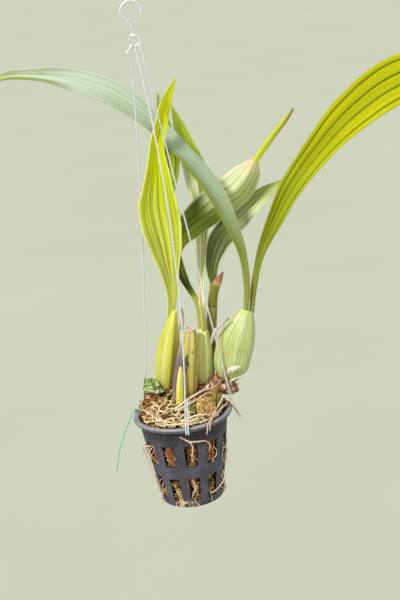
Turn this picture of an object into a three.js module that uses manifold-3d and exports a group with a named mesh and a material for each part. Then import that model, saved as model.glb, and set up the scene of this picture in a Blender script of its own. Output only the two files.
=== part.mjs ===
// A potted black orchid, not in bloom, in a plastic net pot on a three-wire hanger.
// Millimetres, +Z up along the axis of the pot, the viewer of the photograph on the -Y side.
// The origin is the middle of the pot's flat underside.

import * as THREE from 'three';
import { mergeVertices } from 'three/addons/utils/BufferGeometryUtils.js';
import Module from 'manifold-3d';

const wasm = await Module();
wasm.setup();

// Net pot
const POT_HEIGHT = 92;
const POT_BOTTOM_RADIUS = 31.2;
const POT_BODY_TOP_RADIUS = 44.8;
const POT_RIM_RADIUS = 50;
const POT_LIP_HEIGHT = 4.2;
const POT_WALL = 1.9;
const POT_FLOOR = 2.2;
const POT_SIDES = 44;
const SLOTS_AROUND = 11;
const FIRST_SLOT_DEGREES = -84.2;
const UPPER_SLOT = { low: 47, high: 71, widthLow: 12, widthHigh: 13.2 };
const LOWER_SLOT = { low: 8, high: 33.5, widthLow: 10, widthHigh: 11.6 };
const FLOOR_SLOTS = 8;
const FLOOR_SLOT = { inner: 12, outer: 25, width: 5 };

// Growing medium
const MEDIUM_EDGE_HEIGHT = 91;
const MEDIUM_MOUND = 18;
const MEDIUM_HEAP_FROM = -31.5;
const MEDIUM_HEAP_TO = 25.2;
const MEDIUM_TOP_RADIUS = 42;
const MEDIUM_TOP_RINGS = [35, 28, 20, 12, 5];
const MEDIUM_LUMP = 1.1;
const MEDIUM_SIDES = 32;
const SURFACE_ROOTS = 6;
const SURFACE_ROOT_RADIUS = 1.1;

// Wires
const WIRE_RADIUS = 0.8;
const HOOK_WIRE_RADIUS = 1.1;
const EYE_RADIUS = 5.2;
const EYE_HEIGHT = 459;
const HOOK_RADIUS = 9.5;
const HOOK_HEIGHT = 486;
const WIRE_TAIL = 31;
const WIRE_SIDES = 6;

// Everything that touches keeps this gap
const GAP = 0.35;

// Leaves
const LEAF_EDGE = 0.62;
const CREASE = 0.18;
const FRONT = new THREE.Vector3(0, -0.94, 0.34).normalize();

const UP = new THREE.Vector3(0, 0, 1);
const RIGHT = new THREE.Vector3(1, 0, 0);
const DEGREE = Math.PI / 180;

const model = new THREE.Group();

function point(x, y, z) {
  return new THREE.Vector3(x, y, z);
}

function smoothStep(value) {
  const t = Math.min(1, Math.max(0, value));
  return t * t * (3 - 2 * t);
}

// A seeded draw, so that every build is the same
function seededRandom(seed) {
  let state = seed;
  return () => {
    state = (state * 1664525 + 1013904223) % 4294967296;
    return state / 4294967296;
  };
}

// Triangles and corners to one indexed geometry
function indexedGeometry(corners, triangles) {
  const geometry = new THREE.BufferGeometry();
  const positions = corners.flatMap((corner) => [corner.x, corner.y, corner.z]);
  geometry.setAttribute('position', new THREE.Float32BufferAttribute(positions, 3));
  geometry.setIndex(triangles);
  return geometry;
}

// A closed skin over rings of equal size, with a fan over each end ring.
// Each ring runs anticlockwise as seen from the last ring.
function loft(rings) {
  const sides = rings[0].length;
  const corners = rings.flat();
  const triangles = [];
  for (let row = 0; row < rings.length - 1; row += 1) {
    for (let side = 0; side < sides; side += 1) {
      const next = (side + 1) % sides;
      const a = row * sides + side;
      const b = row * sides + next;
      const c = b + sides;
      const d = a + sides;
      triangles.push(a, b, c, a, c, d);
    }
  }
  for (const row of [0, rings.length - 1]) {
    const middle = point(0, 0, 0);
    for (const corner of rings[row]) {
      middle.addScaledVector(corner, 1 / sides);
    }
    corners.push(middle);
    for (let side = 0; side < sides; side += 1) {
      const here = row * sides + side;
      const next = row * sides + ((side + 1) % sides);
      if (row === 0) {
        triangles.push(corners.length - 1, next, here);
      } else {
        triangles.push(corners.length - 1, here, next);
      }
    }
  }
  return indexedGeometry(corners, triangles);
}

// Points, directions and turned side vectors along a line of points
function framesAlong(line, sideHint) {
  const frames = [];
  let side = sideHint.clone();
  for (let i = 0; i < line.length; i += 1) {
    const before = line[Math.max(0, i - 1)];
    const after = line[Math.min(line.length - 1, i + 1)];
    const along = after.clone().sub(before).normalize();
    side = side.clone().addScaledVector(along, -side.dot(along)).normalize();
    const across = along.clone().cross(side);
    frames.push({ at: line[i], along, side, across });
  }
  return frames;
}

// A smooth line through chosen points, with the same number of steps between each two
function smoothLine(points, stepsBetween) {
  const curve = new THREE.CatmullRomCurve3(points, false, 'centripetal');
  return curve.getPoints((points.length - 1) * stepsBetween);
}

// An oval of corners about a point. swellAt gives a share of the reach at each angle.
function ovalRing(at, side, across, reachSide, reachAcross, sides, swellAt = () => 1) {
  const ring = [];
  for (let k = 0; k < sides; k += 1) {
    const angle = (k / sides) * 2 * Math.PI;
    const swell = swellAt(angle);
    const corner = at.clone().addScaledVector(side, reachSide * swell * Math.cos(angle));
    ring.push(corner.addScaledVector(across, reachAcross * swell * Math.sin(angle)));
  }
  return ring;
}

// A round solid along a line. radiusAt gives the radius from 0 at the start to 1 at the end.
function sweep(line, radiusAt, sides) {
  return loft(framesAlong(line, RIGHT).map(({ at, side, across }, i) => {
    const radius = radiusAt(i / (line.length - 1));
    return ovalRing(at, side, across, radius, radius, sides);
  }));
}

// A root: thick at its start, thinner towards its end
function root(points, radius, endRadius = radius * 0.45, sides = 5, stepsBetween = 2) {
  const radiusAt = (t) => radius + (endRadius - radius) * t;
  return sweep(smoothLine(points, stepsBetween), radiusAt, sides);
}

// A geometry as a solid that can be cut and joined
function solid(geometry) {
  const plain = geometry.clone();
  plain.deleteAttribute('normal');
  plain.deleteAttribute('uv');
  const merged = mergeVertices(plain, 1e-4);
  return new wasm.Manifold(new wasm.Mesh({
    numProp: 3,
    vertProperties: new Float32Array(merged.attributes.position.array),
    triVerts: new Uint32Array(merged.index.array),
  }));
}

// The largest body of a solid, back as a geometry, without the loose scraps of a cut
function geometryOf(manifold) {
  const bodies = manifold.decompose().sort((a, b) => b.volume() - a.volume());
  const mesh = bodies[0].getMesh();
  const geometry = new THREE.BufferGeometry();
  geometry.setAttribute('position', new THREE.BufferAttribute(mesh.vertProperties, 3));
  geometry.setIndex(Array.from(mesh.triVerts));
  return geometry;
}

function joined(geometries) {
  return geometries.map(solid).reduce((whole, piece) => whole.add(piece));
}

function cutBy(whole, cutters) {
  return cutters.reduce((rest, cutter) => rest.subtract(solid(cutter)), whole);
}

function add(name, geometry, material) {
  const mesh = new THREE.Mesh(geometry, material);
  mesh.name = name;
  model.add(mesh);
}

function finish(color, roughness, metalness = 0) {
  return new THREE.MeshStandardMaterial({ color, roughness, metalness });
}

const POT_PLASTIC = finish(0x4b4852, 0.55);
const MEDIUM_FIBRE = finish(0x8a6a3c, 0.95);
const RHIZOME_BROWN = finish(0x6b4630, 0.85);
const BULB_YELLOW = finish(0xcdca4a, 0.45);
const BULB_OLD_SKIN = finish(0xb9a94c, 0.6);
const BULB_GREEN = finish(0xb6c46c, 0.42);
const BULB_PALE = finish(0xc4d080, 0.4);
const SHEATH_OLIVE = finish(0x8f9a2e, 0.5);
const LEAF_YELLOW = finish(0xc3d021, 0.5);
const LEAF_GREEN = finish(0x74883a, 0.5);
const LEAF_PALE = finish(0xb9cba6, 0.55);
const LEAF_OLIVE = finish(0xa0ab18, 0.5);
const DRY_PAPER = finish(0xd8cbb4, 0.9);
const DRY_PURPLE = finish(0x7c6a75, 0.9);
const DRY_PINK = finish(0xc49a80, 0.85);
const GALVANISED = finish(0xc3c6c9, 0.35, 1);
const ROOT_CREAM = finish(0xd6bf9a, 0.8);
const ROOT_BROWN = finish(0x8a5a3c, 0.85);
const WEED_GREEN = finish(0x9fc46a, 0.6);
const STRING_TEAL = finish(0x49a88c, 0.5);

// Net pot
const POT_SLOPE = (POT_BODY_TOP_RADIUS - POT_BOTTOM_RADIUS) / (POT_HEIGHT - POT_LIP_HEIGHT);

function potOutside(height) {
  return POT_BOTTOM_RADIUS + POT_SLOPE * height;
}

function potInside(height) {
  return potOutside(height) - POT_WALL;
}

// A tapered block that reaches out from the pot's axis through its wall
function slotCutter({ low, high, widthLow, widthHigh }, degrees) {
  const outline = new THREE.Shape();
  outline.moveTo(-widthLow / 2, low);
  outline.lineTo(widthLow / 2, low);
  outline.lineTo(widthHigh / 2, high);
  outline.lineTo(-widthHigh / 2, high);
  const reach = POT_RIM_RADIUS + 5;
  const block = new THREE.ExtrudeGeometry(outline, { depth: reach, steps: 1, bevelEnabled: false });
  const angle = degrees * DEGREE;
  const outward = point(Math.cos(angle), Math.sin(angle), 0);
  const sideways = point(-Math.sin(angle), Math.cos(angle), 0);
  return block.applyMatrix4(new THREE.Matrix4().makeBasis(sideways, UP, outward));
}

function floorSlotCutter(degrees) {
  const length = FLOOR_SLOT.outer - FLOOR_SLOT.inner;
  const block = new THREE.BoxGeometry(length, FLOOR_SLOT.width, POT_FLOOR * 3);
  block.translate(FLOOR_SLOT.inner + length / 2, 0, POT_FLOOR / 2);
  return block.rotateZ(degrees * DEGREE);
}

function netPot() {
  const lipBottom = POT_HEIGHT - POT_LIP_HEIGHT;
  const lipStep = POT_HEIGHT - POT_LIP_HEIGHT / 2;
  const outline = [
    new THREE.Vector2(0, 0),
    new THREE.Vector2(POT_BOTTOM_RADIUS, 0),
    new THREE.Vector2(POT_BODY_TOP_RADIUS, lipBottom),
    new THREE.Vector2(POT_RIM_RADIUS - 1.4, lipBottom),
    new THREE.Vector2(POT_RIM_RADIUS - 0.9, lipStep),
    new THREE.Vector2(POT_RIM_RADIUS, lipStep + 0.4),
    new THREE.Vector2(POT_RIM_RADIUS, POT_HEIGHT - 0.6),
    new THREE.Vector2(POT_RIM_RADIUS - 0.6, POT_HEIGHT),
    new THREE.Vector2(potInside(POT_HEIGHT), POT_HEIGHT),
    new THREE.Vector2(potInside(POT_FLOOR), POT_FLOOR),
    new THREE.Vector2(0, POT_FLOOR),
  ];
  const shell = new THREE.LatheGeometry(outline, POT_SIDES).rotateX(Math.PI / 2);
  const cutters = [];
  for (let k = 0; k < SLOTS_AROUND; k += 1) {
    const degrees = FIRST_SLOT_DEGREES + (k * 360) / SLOTS_AROUND;
    cutters.push(slotCutter(UPPER_SLOT, degrees));
    cutters.push(slotCutter(LOWER_SLOT, degrees));
  }
  const ring = joined(cutters).intersect(solid(slotRing()));
  const floorCuts = [];
  for (let k = 0; k < FLOOR_SLOTS; k += 1) {
    floorCuts.push(floorSlotCutter((k * 360) / FLOOR_SLOTS));
  }
  return geometryOf(cutBy(solid(shell).subtract(ring), floorCuts));
}

// Keeps the slot cutters to the wall, away from the pot's axis
function slotRing() {
  const inner = POT_BOTTOM_RADIUS - 8;
  const outer = POT_RIM_RADIUS + 2;
  const outline = [
    new THREE.Vector2(inner, 1),
    new THREE.Vector2(outer, 1),
    new THREE.Vector2(outer, POT_HEIGHT),
    new THREE.Vector2(inner, POT_HEIGHT),
    new THREE.Vector2(inner, 1),
  ];
  return new THREE.LatheGeometry(outline, 12).rotateX(Math.PI / 2);
}

// Bulbs. rings gives the share of the full radius at each share of the height.
const PLUMP_RINGS = [[0, 0.3], [0.05, 0.5], [0.15, 0.77], [0.3, 0.97], [0.45, 1],
  [0.62, 0.98], [0.77, 0.85], [0.9, 0.6], [1, 0.3]];
const SLIM_RINGS = [[0, 0.5], [0.06, 0.74], [0.2, 0.95], [0.38, 1], [0.56, 0.97],
  [0.74, 0.84], [0.88, 0.66], [0.96, 0.5], [1, 0.4]];
const POINTED_RINGS = [[0, 0.3], [0.07, 0.5], [0.2, 0.8], [0.38, 1], [0.55, 0.98],
  [0.7, 0.83], [0.84, 0.57], [0.94, 0.33], [1, 0.21]];
const DOMED_RINGS = [[0, 0.55], [0.08, 0.8], [0.22, 0.96], [0.42, 1], [0.62, 1],
  [0.78, 0.94], [0.9, 0.8], [0.96, 0.62], [1, 0.5]];
const BUD_RINGS = [[0, 0.85], [0.1, 1], [0.3, 0.98], [0.5, 0.88], [0.7, 0.75], [0.86, 0.58],
  [1, 0.3]];

const BULBS = {
  bulb_left: {
    axis: [point(-15.5, 25, 100), point(-9.3, 24, 144), point(4.5, 23, 191)],
    rings: POINTED_RINGS, radius: 11.6, depth: 0.86, ribs: 5, ribHeight: 0.09, ribPhase: 0.3,
    material: BULB_YELLOW,
  },
  bulb_old: {
    axis: [point(7.3, 11, 99.5), point(11.7, 10.6, 135.5), point(18.2, 12, 172.4)],
    rings: DOMED_RINGS, radius: 8.6, depth: 0.85, ribs: 6, ribHeight: 0.1, ribPhase: 0.4,
    material: BULB_OLD_SKIN,
  },
  bulb_middle: {
    axis: [point(24.5, 28, 103), point(27, 28, 140), point(30.6, 29, 167)],
    rings: SLIM_RINGS, radius: 9.2, depth: 0.88, ribs: 6, ribHeight: 0.05, ribPhase: 0,
    material: BULB_GREEN,
  },
  bulb_right: {
    axis: [point(51.5, 22, 109), point(59, 22, 142), point(77, 22, 183.5)],
    rings: PLUMP_RINGS, radius: 18.4, depth: 0.76, ribs: 8, ribHeight: 0.04, ribPhase: 0.2,
    material: BULB_PALE,
  },
  bulb_bud: {
    axis: [point(-1.7, -1.4, 97.5), point(0, -1.9, 118.4), point(3.9, -1, 139.5)],
    rings: BUD_RINGS, radius: 3.9, depth: 0.9, ribs: 3, ribHeight: 0.08, ribPhase: 0,
    material: BULB_YELLOW,
  },
};

// The middle line of a bulb, through its foot, its belly and its tip
function bulbAxis([foot, belly, tip]) {
  const bend = belly.clone().multiplyScalar(2).addScaledVector(foot, -0.5).addScaledVector(tip, -0.5);
  return new THREE.QuadraticBezierCurve3(foot, bend, tip);
}

function bulb({ axis, rings, radius, depth, ribs, ribHeight, ribPhase }) {
  const curve = bulbAxis(axis);
  const frames = framesAlong(rings.map(([height]) => curve.getPoint(height)), RIGHT);
  const sides = ribs * 3;
  const ribAt = (angle) => 1 + ribHeight * Math.cos(ribs * angle + ribPhase);
  return loft(frames.map(({ at, side, across }, i) => {
    const reach = radius * rings[i][1];
    return ovalRing(at, side, across, reach, reach * depth, sides, ribAt);
  }));
}

// The room that the lower end of a bulb takes up in what it stands in
function bulbSocket({ axis, rings, radius, depth, ribHeight }) {
  const plainRings = rings.filter(([height]) => height < 0.5)
    .map(([height, share]) => [height, share * (1 + ribHeight)]);
  const curve = bulbAxis(axis);
  const sides = 10;
  const swell = 1 / Math.cos(Math.PI / sides);
  const line = plainRings.map(([height]) => curve.getPoint(height));
  const frames = framesAlong(line, RIGHT);
  frames[0].at.addScaledVector(frames[0].along, -GAP);
  return loft(frames.map(({ at, side, across }, i) => {
    const reach = radius * plainRings[i][1];
    return ovalRing(at, side, across, (reach + GAP) * swell, (reach * depth + GAP) * swell, sides);
  }));
}

// Leaves, sheaths and bracts. Each station is a point on the midrib, half the width, the turn
// of the blade about its midrib away from facing the front, how far its halves fold forward,
// both in degrees, and the thickness at the midrib.
const LEAVES = {
  leaf_front: {
    stations: [
      [-2, 26, 179, 2.6, 0, 10, 4.6],
      [3.8, 24.5, 206, 6.6, 6, 35, 2.6],
      [4, 23, 230, 10.5, 8, 32, 1.4],
      [3, 21, 258, 17.5, 10, 24, 1],
      [1, 20, 283, 21.5, 12, 20, 0.9],
      [0.5, 20, 299, 21.2, 12, 21, 0.9],
      [3, 20, 323, 15.8, 14, 26, 0.9],
      [6, 19, 354, 9.6, 22, 35, 0.9],
      [12, 18, 375, 8.5, 28, 35, 0.9],
      [20.5, 16, 397, 6.5, 28, 30, 0.8],
      [33, 13, 420, 0.7, 20, 10, 0.7],
    ],
    rows: 17, columns: 8, pleats: 0.5, wave: 0.5, material: LEAF_YELLOW,
  },
  leaf_folded: {
    stations: [
      [1.5, 29.5, 181, 2.2, 0, 0, 3.4],
      [3, 37, 207, 4, 5, -10, 2.4],
      [7, 43, 235, 7, 10, -20, 1.4],
      [17, 46, 257, 11.5, 18, -25, 1],
      [33, 48.5, 270, 17, 22, -28, 0.9],
      [57, 51, 285, 20.5, 24, -28, 0.9],
      [82, 52, 300, 20.5, 24, -28, 0.9],
      [93.5, 50.3, 313.5, 15.6, 18, -28, 0.9],
      [98.5, 49.3, 321.8, 9.5, 8, -28, 0.9],
      [102.5, 48.7, 327.5, 4, -10, -28, 0.9],
      [119.6, 46, 347.6, 3.6, -12, -20, 0.9],
      [135, 43.6, 364, 2.9, -15, -20, 0.9],
      [144.2, 42, 374.2, 0.7, -15, -10, 0.7],
    ],
    rows: 22, columns: 8, pleats: 0.5, wave: 0.4, material: LEAF_GREEN,
  },
  leaf_middle_left: {
    stations: [
      [27.5, 28.5, 164, 1.9, 0, 0, 3],
      [27.5, 34, 193, 2.8, 10, 15, 2],
      [18, 43, 214.5, 4.4, 15, 25, 1.3],
      [9.5, 55, 244, 7.5, 15, 25, 1],
      [3.8, 60, 284.5, 9.5, 12, 20, 0.9],
      [16, 58.5, 330, 11, 10, 20, 0.9],
      [16.8, 52, 365.5, 8.5, 15, 25, 0.9],
      [14, 42, 406, 0.7, 20, 10, 0.7],
    ],
    rows: 14, columns: 4, pleats: 0.4, wave: 0.3, material: LEAF_GREEN,
  },
  leaf_middle_erect: {
    stations: [
      [32.8, 30.5, 164, 1.9, 0, 0, 3],
      [33.5, 38, 192, 3, -8, 30, 2],
      [35, 46, 217, 4.5, -10, 40, 1.3],
      [40, 59, 245.2, 7, -12, 40, 1],
      [43.6, 69, 278, 9.5, -12, 28, 0.9],
      [43, 71, 318.2, 13, -12, 22, 0.9],
      [37, 67, 345.7, 10.5, -10, 24, 0.9],
      [31, 62, 371, 6, -10, 20, 0.9],
      [26, 58, 390, 0.7, -10, 10, 0.7],
    ],
    rows: 14, columns: 4, pleats: 0.4, wave: 0.3, material: LEAF_GREEN,
  },
  leaf_long_left: {
    stations: [
      [74.5, 20.5, 178, 2.4, 0, 0, 4.2],
      [78.8, 18.5, 208, 3.2, 5, 10, 3.2],
      [78, 19.5, 240, 4.4, 12, 25, 2.2],
      [69, 23.5, 274, 8.5, 24, 24, 1.2],
      [52.5, 28, 313.5, 11.2, 28, 18, 0.9],
      [28.8, 31.5, 349.3, 9.8, 30, 16, 0.9],
      [2.8, 34, 381, 11.6, 30, 14, 0.9],
      [-28, 33, 409, 14.5, 24, 16, 0.9],
      [-61, 28, 426, 13, 14, 22, 0.9],
      [-95, 22, 436, 10, 6, 50, 0.9],
      [-122, 18, 440, 6, 0, 50, 0.9],
      [-143, 15, 437, 0.7, 0, 10, 0.7],
    ],
    rows: 21, columns: 6, pleats: 0.35, wave: 0.5, material: LEAF_PALE,
  },
  leaf_long_right: {
    stations: [
      [80.8, 23.5, 178, 2.3, 0, 0, 4],
      [86, 23.5, 205, 3.1, 5, 10, 3],
      [95, 20, 237, 4.4, 10, 25, 2.2],
      [109, 16, 266, 8, 12, 28, 1.3],
      [129, 10, 301, 11.5, 12, 20, 1],
      [156, 4, 334, 14, 12, 14, 0.9],
      [188, -4, 366, 18.5, 14, 10, 0.9],
      [228, -14, 393, 22, 14, 8, 0.9],
      [267, -24, 404, 21.5, 16, 10, 0.9],
      [307, -32, 400, 15, 18, 14, 0.9],
      [344, -36, 381, 0.7, 20, 10, 0.7],
    ],
    rows: 20, columns: 8, pleats: 0.5, wave: 0.5, material: LEAF_OLIVE,
  },
  leaf_shoot: {
    stations: [
      [46, 44.5, 203, 1.7, 0, 0, 2.6],
      [47.6, 49, 226.5, 8.5, 0, 32, 1.4],
      [57.4, 58, 246.5, 13, -6, 26, 1],
      [73, 65, 260.5, 13, -12, 20, 0.9],
      [88.4, 69, 272, 11.5, -14, 18, 0.9],
      [107.4, 70, 286.5, 9, -10, 18, 0.9],
      [128.5, 67, 301, 0.7, 0, 10, 0.7],
    ],
    rows: 11, columns: 6, pleats: 0.5, wave: 0.6, material: LEAF_PALE,
  },
};

// Dry sheaths and bracts, described in the same way
const SHEATHS = {
  sheath_old: {
    stations: [
      [-7.8, 3.6, 100.5, 3.4, -35, -30, 1],
      [-4.9, 3, 118.4, 4.8, -35, -35, 1],
      [1.3, 3.4, 141.6, 4.2, -30, -35, 1],
      [7.3, 5, 162.8, 0.8, -20, -10, 0.8],
    ],
    rows: 7, columns: 4, pleats: 0, wave: 0, material: DRY_PURPLE,
  },
  stub_left: {
    stations: [
      [8.5, 25, 170, 2.2, 15, 30, 1.4],
      [10.4, 24, 181, 3, 15, 40, 1.2],
      [10.8, 24, 192, 1.6, 10, 30, 1],
    ],
    rows: 5, columns: 4, pleats: 0, wave: 0, material: DRY_PURPLE,
  },
  bract_middle: {
    stations: [
      [30.5, 23.9, 166, 2, 0, -30, 1],
      [31, 26, 184, 2.6, 0, -40, 1],
      [31, 28, 197, 2.4, 0, -40, 0.9],
      [33.2, 29.5, 209, 0.7, 0, -10, 0.7],
    ],
    rows: 6, columns: 4, pleats: 0, wave: 0, material: DRY_PINK,
  },
  sheath_shoot: {
    stations: [
      [43, 37.6, 186, 4, 0, -22, 1],
      [46.2, 37.2, 203, 5.2, -5, -24, 1],
      [51.2, 38.6, 211, 4.4, -8, -24, 0.9],
      [57.5, 41.5, 219.5, 0.7, -8, -10, 0.7],
    ],
    rows: 6, columns: 4, pleats: 0, wave: 0, material: DRY_PINK,
  },
  bract_white: {
    stations: [
      [48.8, 10.2, 121.5, 1, 0, 0, 0.9],
      [52.4, 6, 126.8, 3.2, 0, -20, 0.9],
      [57.5, 3.6, 129.6, 2.2, 0, -15, 0.9],
      [63, 3, 130.8, 0.7, 0, 0, 0.7],
    ],
    rows: 6, columns: 4, pleats: 0, wave: 0, material: DRY_PAPER,
  },
  strip_right: {
    stations: [
      [36.1, 24, 150.4, 1, 0, 0, 1],
      [38.2, 19.5, 157, 1.6, 5, -10, 0.9],
      [41, 15, 165, 1.8, 10, -20, 0.9],
      [48, 11.5, 173.5, 1.7, 20, -20, 0.9],
      [57.5, 9.5, 180, 0.6, 20, 0, 0.7],
    ],
    rows: 7, columns: 4, pleats: 0, wave: 0, material: DRY_PAPER,
  },
};

// The blade as a grid of points on both faces, triangulated alike. grow swells it, and
// reach, from 0 to 1, takes only its lower stretch.
function blade({ stations, rows, columns, pleats, wave }, grow = 0, reach = 1) {
  const spine = new THREE.CatmullRomCurve3(
    stations.map(([x, y, z]) => point(x, y, z)), false, 'centripetal',
  );
  const widths = new THREE.CatmullRomCurve3(
    stations.map(([, , , width, turn, fold]) => point(width, turn, fold)), false, 'centripetal',
  );
  const thicknesses = new THREE.CatmullRomCurve3(
    stations.map((station, i) => point(station[6], i, 0)), false, 'centripetal',
  );
  const corners = [];
  const last = Math.max(2, Math.round(rows * reach));
  for (let row = 0; row <= last; row += 1) {
    const t = (row / last) * reach;
    const at = spine.getPoint(t);
    const along = spine.getPoint(Math.min(1, t + 0.002))
      .sub(spine.getPoint(Math.max(0, t - 0.002))).normalize();
    const { x: halfWidth, y: turn, z: fold } = widths.getPoint(t);
    const thickness = thicknesses.getPoint(t).x;
    const facing = FRONT.clone().addScaledVector(along, -FRONT.dot(along)).normalize();
    const sideways = along.clone().cross(facing);
    const side = sideways.clone().multiplyScalar(Math.cos(turn * DEGREE))
      .addScaledVector(facing, -Math.sin(turn * DEGREE));
    const normal = facing.clone().multiplyScalar(Math.cos(turn * DEGREE))
      .addScaledVector(sideways, Math.sin(turn * DEGREE));
    const width = Math.max(0.5, halfWidth) + grow;
    const inBlade = smoothStep((halfWidth - 3) / 6);
    const shift = row === 0 ? -grow : 0;
    for (const face of [1, -1]) {
      for (let column = 0; column <= columns; column += 1) {
        const u = (2 * column) / columns - 1;
        const round = Math.sqrt(u * u + CREASE * CREASE);
        const slope = Math.atan2(Math.sin(fold * DEGREE) * (u / round), Math.cos(fold * DEGREE));
        const rise = width * (round - CREASE) * Math.sin(fold * DEGREE);
        const pleat = inBlade * pleats * Math.cos(4 * Math.PI * u) * (1 - u * u);
        const ripple = inBlade * wave * Math.sin(t * 40 + (u > 0 ? 1.3 : 0)) * u * u;
        const half = (LEAF_EDGE + Math.max(0, thickness - LEAF_EDGE) * (1 - u * u)) / 2 + grow;
        const corner = at.clone().addScaledVector(along, shift)
          .addScaledVector(side, width * u * Math.cos(fold * DEGREE))
          .addScaledVector(normal, rise + pleat + ripple)
          .addScaledVector(normal, face * half * Math.cos(slope))
          .addScaledVector(side, -face * half * Math.sin(slope));
        corners.push(corner);
      }
    }
  }
  return indexedGeometry(corners, bladeTriangles(last, columns));
}

function bladeTriangles(rows, columns) {
  const triangles = [];
  const inRow = 2 * (columns + 1);
  const corner = (row, face, column) => row * inRow + face * (columns + 1) + column;
  const quad = (a, b, c, d) => triangles.push(a, b, c, a, c, d);
  for (let row = 0; row < rows; row += 1) {
    for (let column = 0; column < columns; column += 1) {
      const a = corner(row, 0, column);
      const b = corner(row, 0, column + 1);
      const c = corner(row + 1, 0, column + 1);
      const d = corner(row + 1, 0, column);
      const back = columns + 1;
      quad(a, b, c, d);
      triangles.push(a + back, c + back, b + back, a + back, d + back, c + back);
    }
    quad(corner(row, 1, 0), corner(row, 0, 0), corner(row + 1, 0, 0), corner(row + 1, 1, 0));
    quad(corner(row, 0, columns), corner(row, 1, columns),
      corner(row + 1, 1, columns), corner(row + 1, 0, columns));
  }
  for (let column = 0; column < columns; column += 1) {
    quad(corner(0, 0, column), corner(0, 1, column), corner(0, 1, column + 1), corner(0, 0, column + 1));
    quad(corner(rows, 0, column), corner(rows, 0, column + 1),
      corner(rows, 1, column + 1), corner(rows, 1, column));
  }
  return triangles;
}

// The new shoot: a sheathed stem behind the middle bulb
const SHOOT_LINE = [
  point(29, 40, 100), point(35, 42, 135), point(39, 43, 162), point(43.5, 44, 188), point(47, 45.5, 208),
];

function shoot() {
  return sweep(smoothLine(SHOOT_LINE, 2), (t) => 4.6 - 0.3 * t * t, 10);
}

function shootSocket() {
  const [foot, next] = SHOOT_LINE;
  const below = foot.clone().addScaledVector(next.clone().sub(foot).normalize(), -GAP);
  return sweep([below, ...smoothLine([foot, next], 1)], () => 4.6 + 2 * GAP, 10);
}

// The rhizome that the bulbs stand on, with a short branch to each bulb off the main run
const RHIZOME_RUNS = [
  { points: [[-16, 25, 99], [-4, 16, 98], [8, 8, 95], [20, 13, 101], [31, 17, 104.5],
    [42, 18.5, 104.5], [50, 19.5, 103.5], [58, 19, 102.5]], radius: 5.2, tip: 6.6 },
  { points: [[22, 15, 100], [25, 26, 101], [30, 38, 102]], radius: 4.8, tip: 4.4 },
  { points: [[33, 18, 104], [37, 18, 112], [41, 18.5, 119]], radius: 6.4, tip: 4 },
];

function rhizomeRun({ points, radius, tip }, grow = 0) {
  const line = smoothLine(points.map(([x, y, z]) => point(x, y, z)), 2);
  const count = line.length - 1;
  const scales = (t) => 1 + 0.12 * Math.cos(t * count * Math.PI);
  const rounded = (t) => Math.min(1, 0.5 + 5 * Math.min(t, 1 - t));
  return sweep(line, (t) => (radius + (tip - radius) * t) * scales(t) * rounded(t) + grow, 8);
}

// Growing medium: the pot's filling, heaped up towards the back.
// heapShare goes from 0 at the front to 1 at the back.
function heapShare(y) {
  return smoothStep((y - MEDIUM_HEAP_FROM) / (MEDIUM_HEAP_TO - MEDIUM_HEAP_FROM));
}

function moundHeight(x, y) {
  const lumps = Math.sin(x * 0.55 + 1.2) * Math.cos(y * 0.6) + 0.6 * Math.sin(x * 0.23 - y * 0.4);
  const flatEdge = smoothStep((MEDIUM_TOP_RADIUS - Math.hypot(x, y)) / 8);
  return MEDIUM_EDGE_HEIGHT + MEDIUM_MOUND * heapShare(y) + MEDIUM_LUMP * lumps * flatEdge;
}

function mediumBody() {
  const wallGap = GAP + 0.1;
  const rings = [POT_FLOOR + GAP, POT_HEIGHT / 2, MEDIUM_EDGE_HEIGHT].map((height) => (
    mediumRing(() => [potInside(height) - wallGap, height])
  ));
  // The heap's flank, which bulges a little over the rim at the back
  const flank = [
    { radius: MEDIUM_TOP_RADIUS + 0.2, bulge: 1.5, lift: 0.2, rise: 0.45 },
    { radius: MEDIUM_TOP_RADIUS - 1.5, bulge: -1, lift: 0.5, rise: 0.82 },
  ];
  for (const { radius, bulge, lift, rise } of flank) {
    rings.push(mediumRing(({ sine }) => {
      const heap = heapShare(MEDIUM_TOP_RADIUS * sine);
      return [radius + bulge * heap, MEDIUM_EDGE_HEIGHT + lift + rise * MEDIUM_MOUND * heap];
    }));
  }
  for (const radius of MEDIUM_TOP_RINGS) {
    rings.push(mediumRing(({ cosine, sine }) => (
      [radius, moundHeight(radius * cosine, radius * sine)]
    )));
  }
  return loft(rings);
}

// One ring of the medium. meridian gives its radius and height in each direction.
function mediumRing(meridian) {
  const ring = [];
  for (let k = 0; k < MEDIUM_SIDES; k += 1) {
    const angle = (k / MEDIUM_SIDES) * 2 * Math.PI;
    const direction = { cosine: Math.cos(angle), sine: Math.sin(angle) };
    const [radius, height] = meridian(direction);
    ring.push(point(radius * direction.cosine, radius * direction.sine, height));
  }
  return ring;
}

// Roots that lie half sunk in the top of the medium, fused to it
function surfaceRoots() {
  const draw = seededRandom(11);
  const roots = [];
  for (let k = 0; k < SURFACE_ROOTS; k += 1) {
    const angle = (198 + 22 * k + 8 * draw()) * DEGREE;
    const heading = angle + (draw() - 0.5) * 1.6 + Math.PI / 2;
    const middleX = 30 * Math.cos(angle) + 6 * (draw() - 0.5);
    const middleY = 27 * Math.sin(angle) + 6 * (draw() - 0.5);
    const points = [-1, -0.5, 0, 0.5, 1].map((share) => {
      const reach = 12 * share;
      const x = middleX + reach * Math.cos(heading) - 1.5 * share * share * Math.cos(angle);
      const y = middleY + reach * Math.sin(heading) - 1.5 * share * share * Math.sin(angle);
      const pull = Math.min(1, 39 / Math.hypot(x, y));
      return point(x * pull, y * pull, moundHeight(x * pull, y * pull) + 0.4 - 1.6 * share * share);
    });
    roots.push(root(points, SURFACE_ROOT_RADIUS, 0.9, 5, 1));
  }
  return roots;
}

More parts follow.
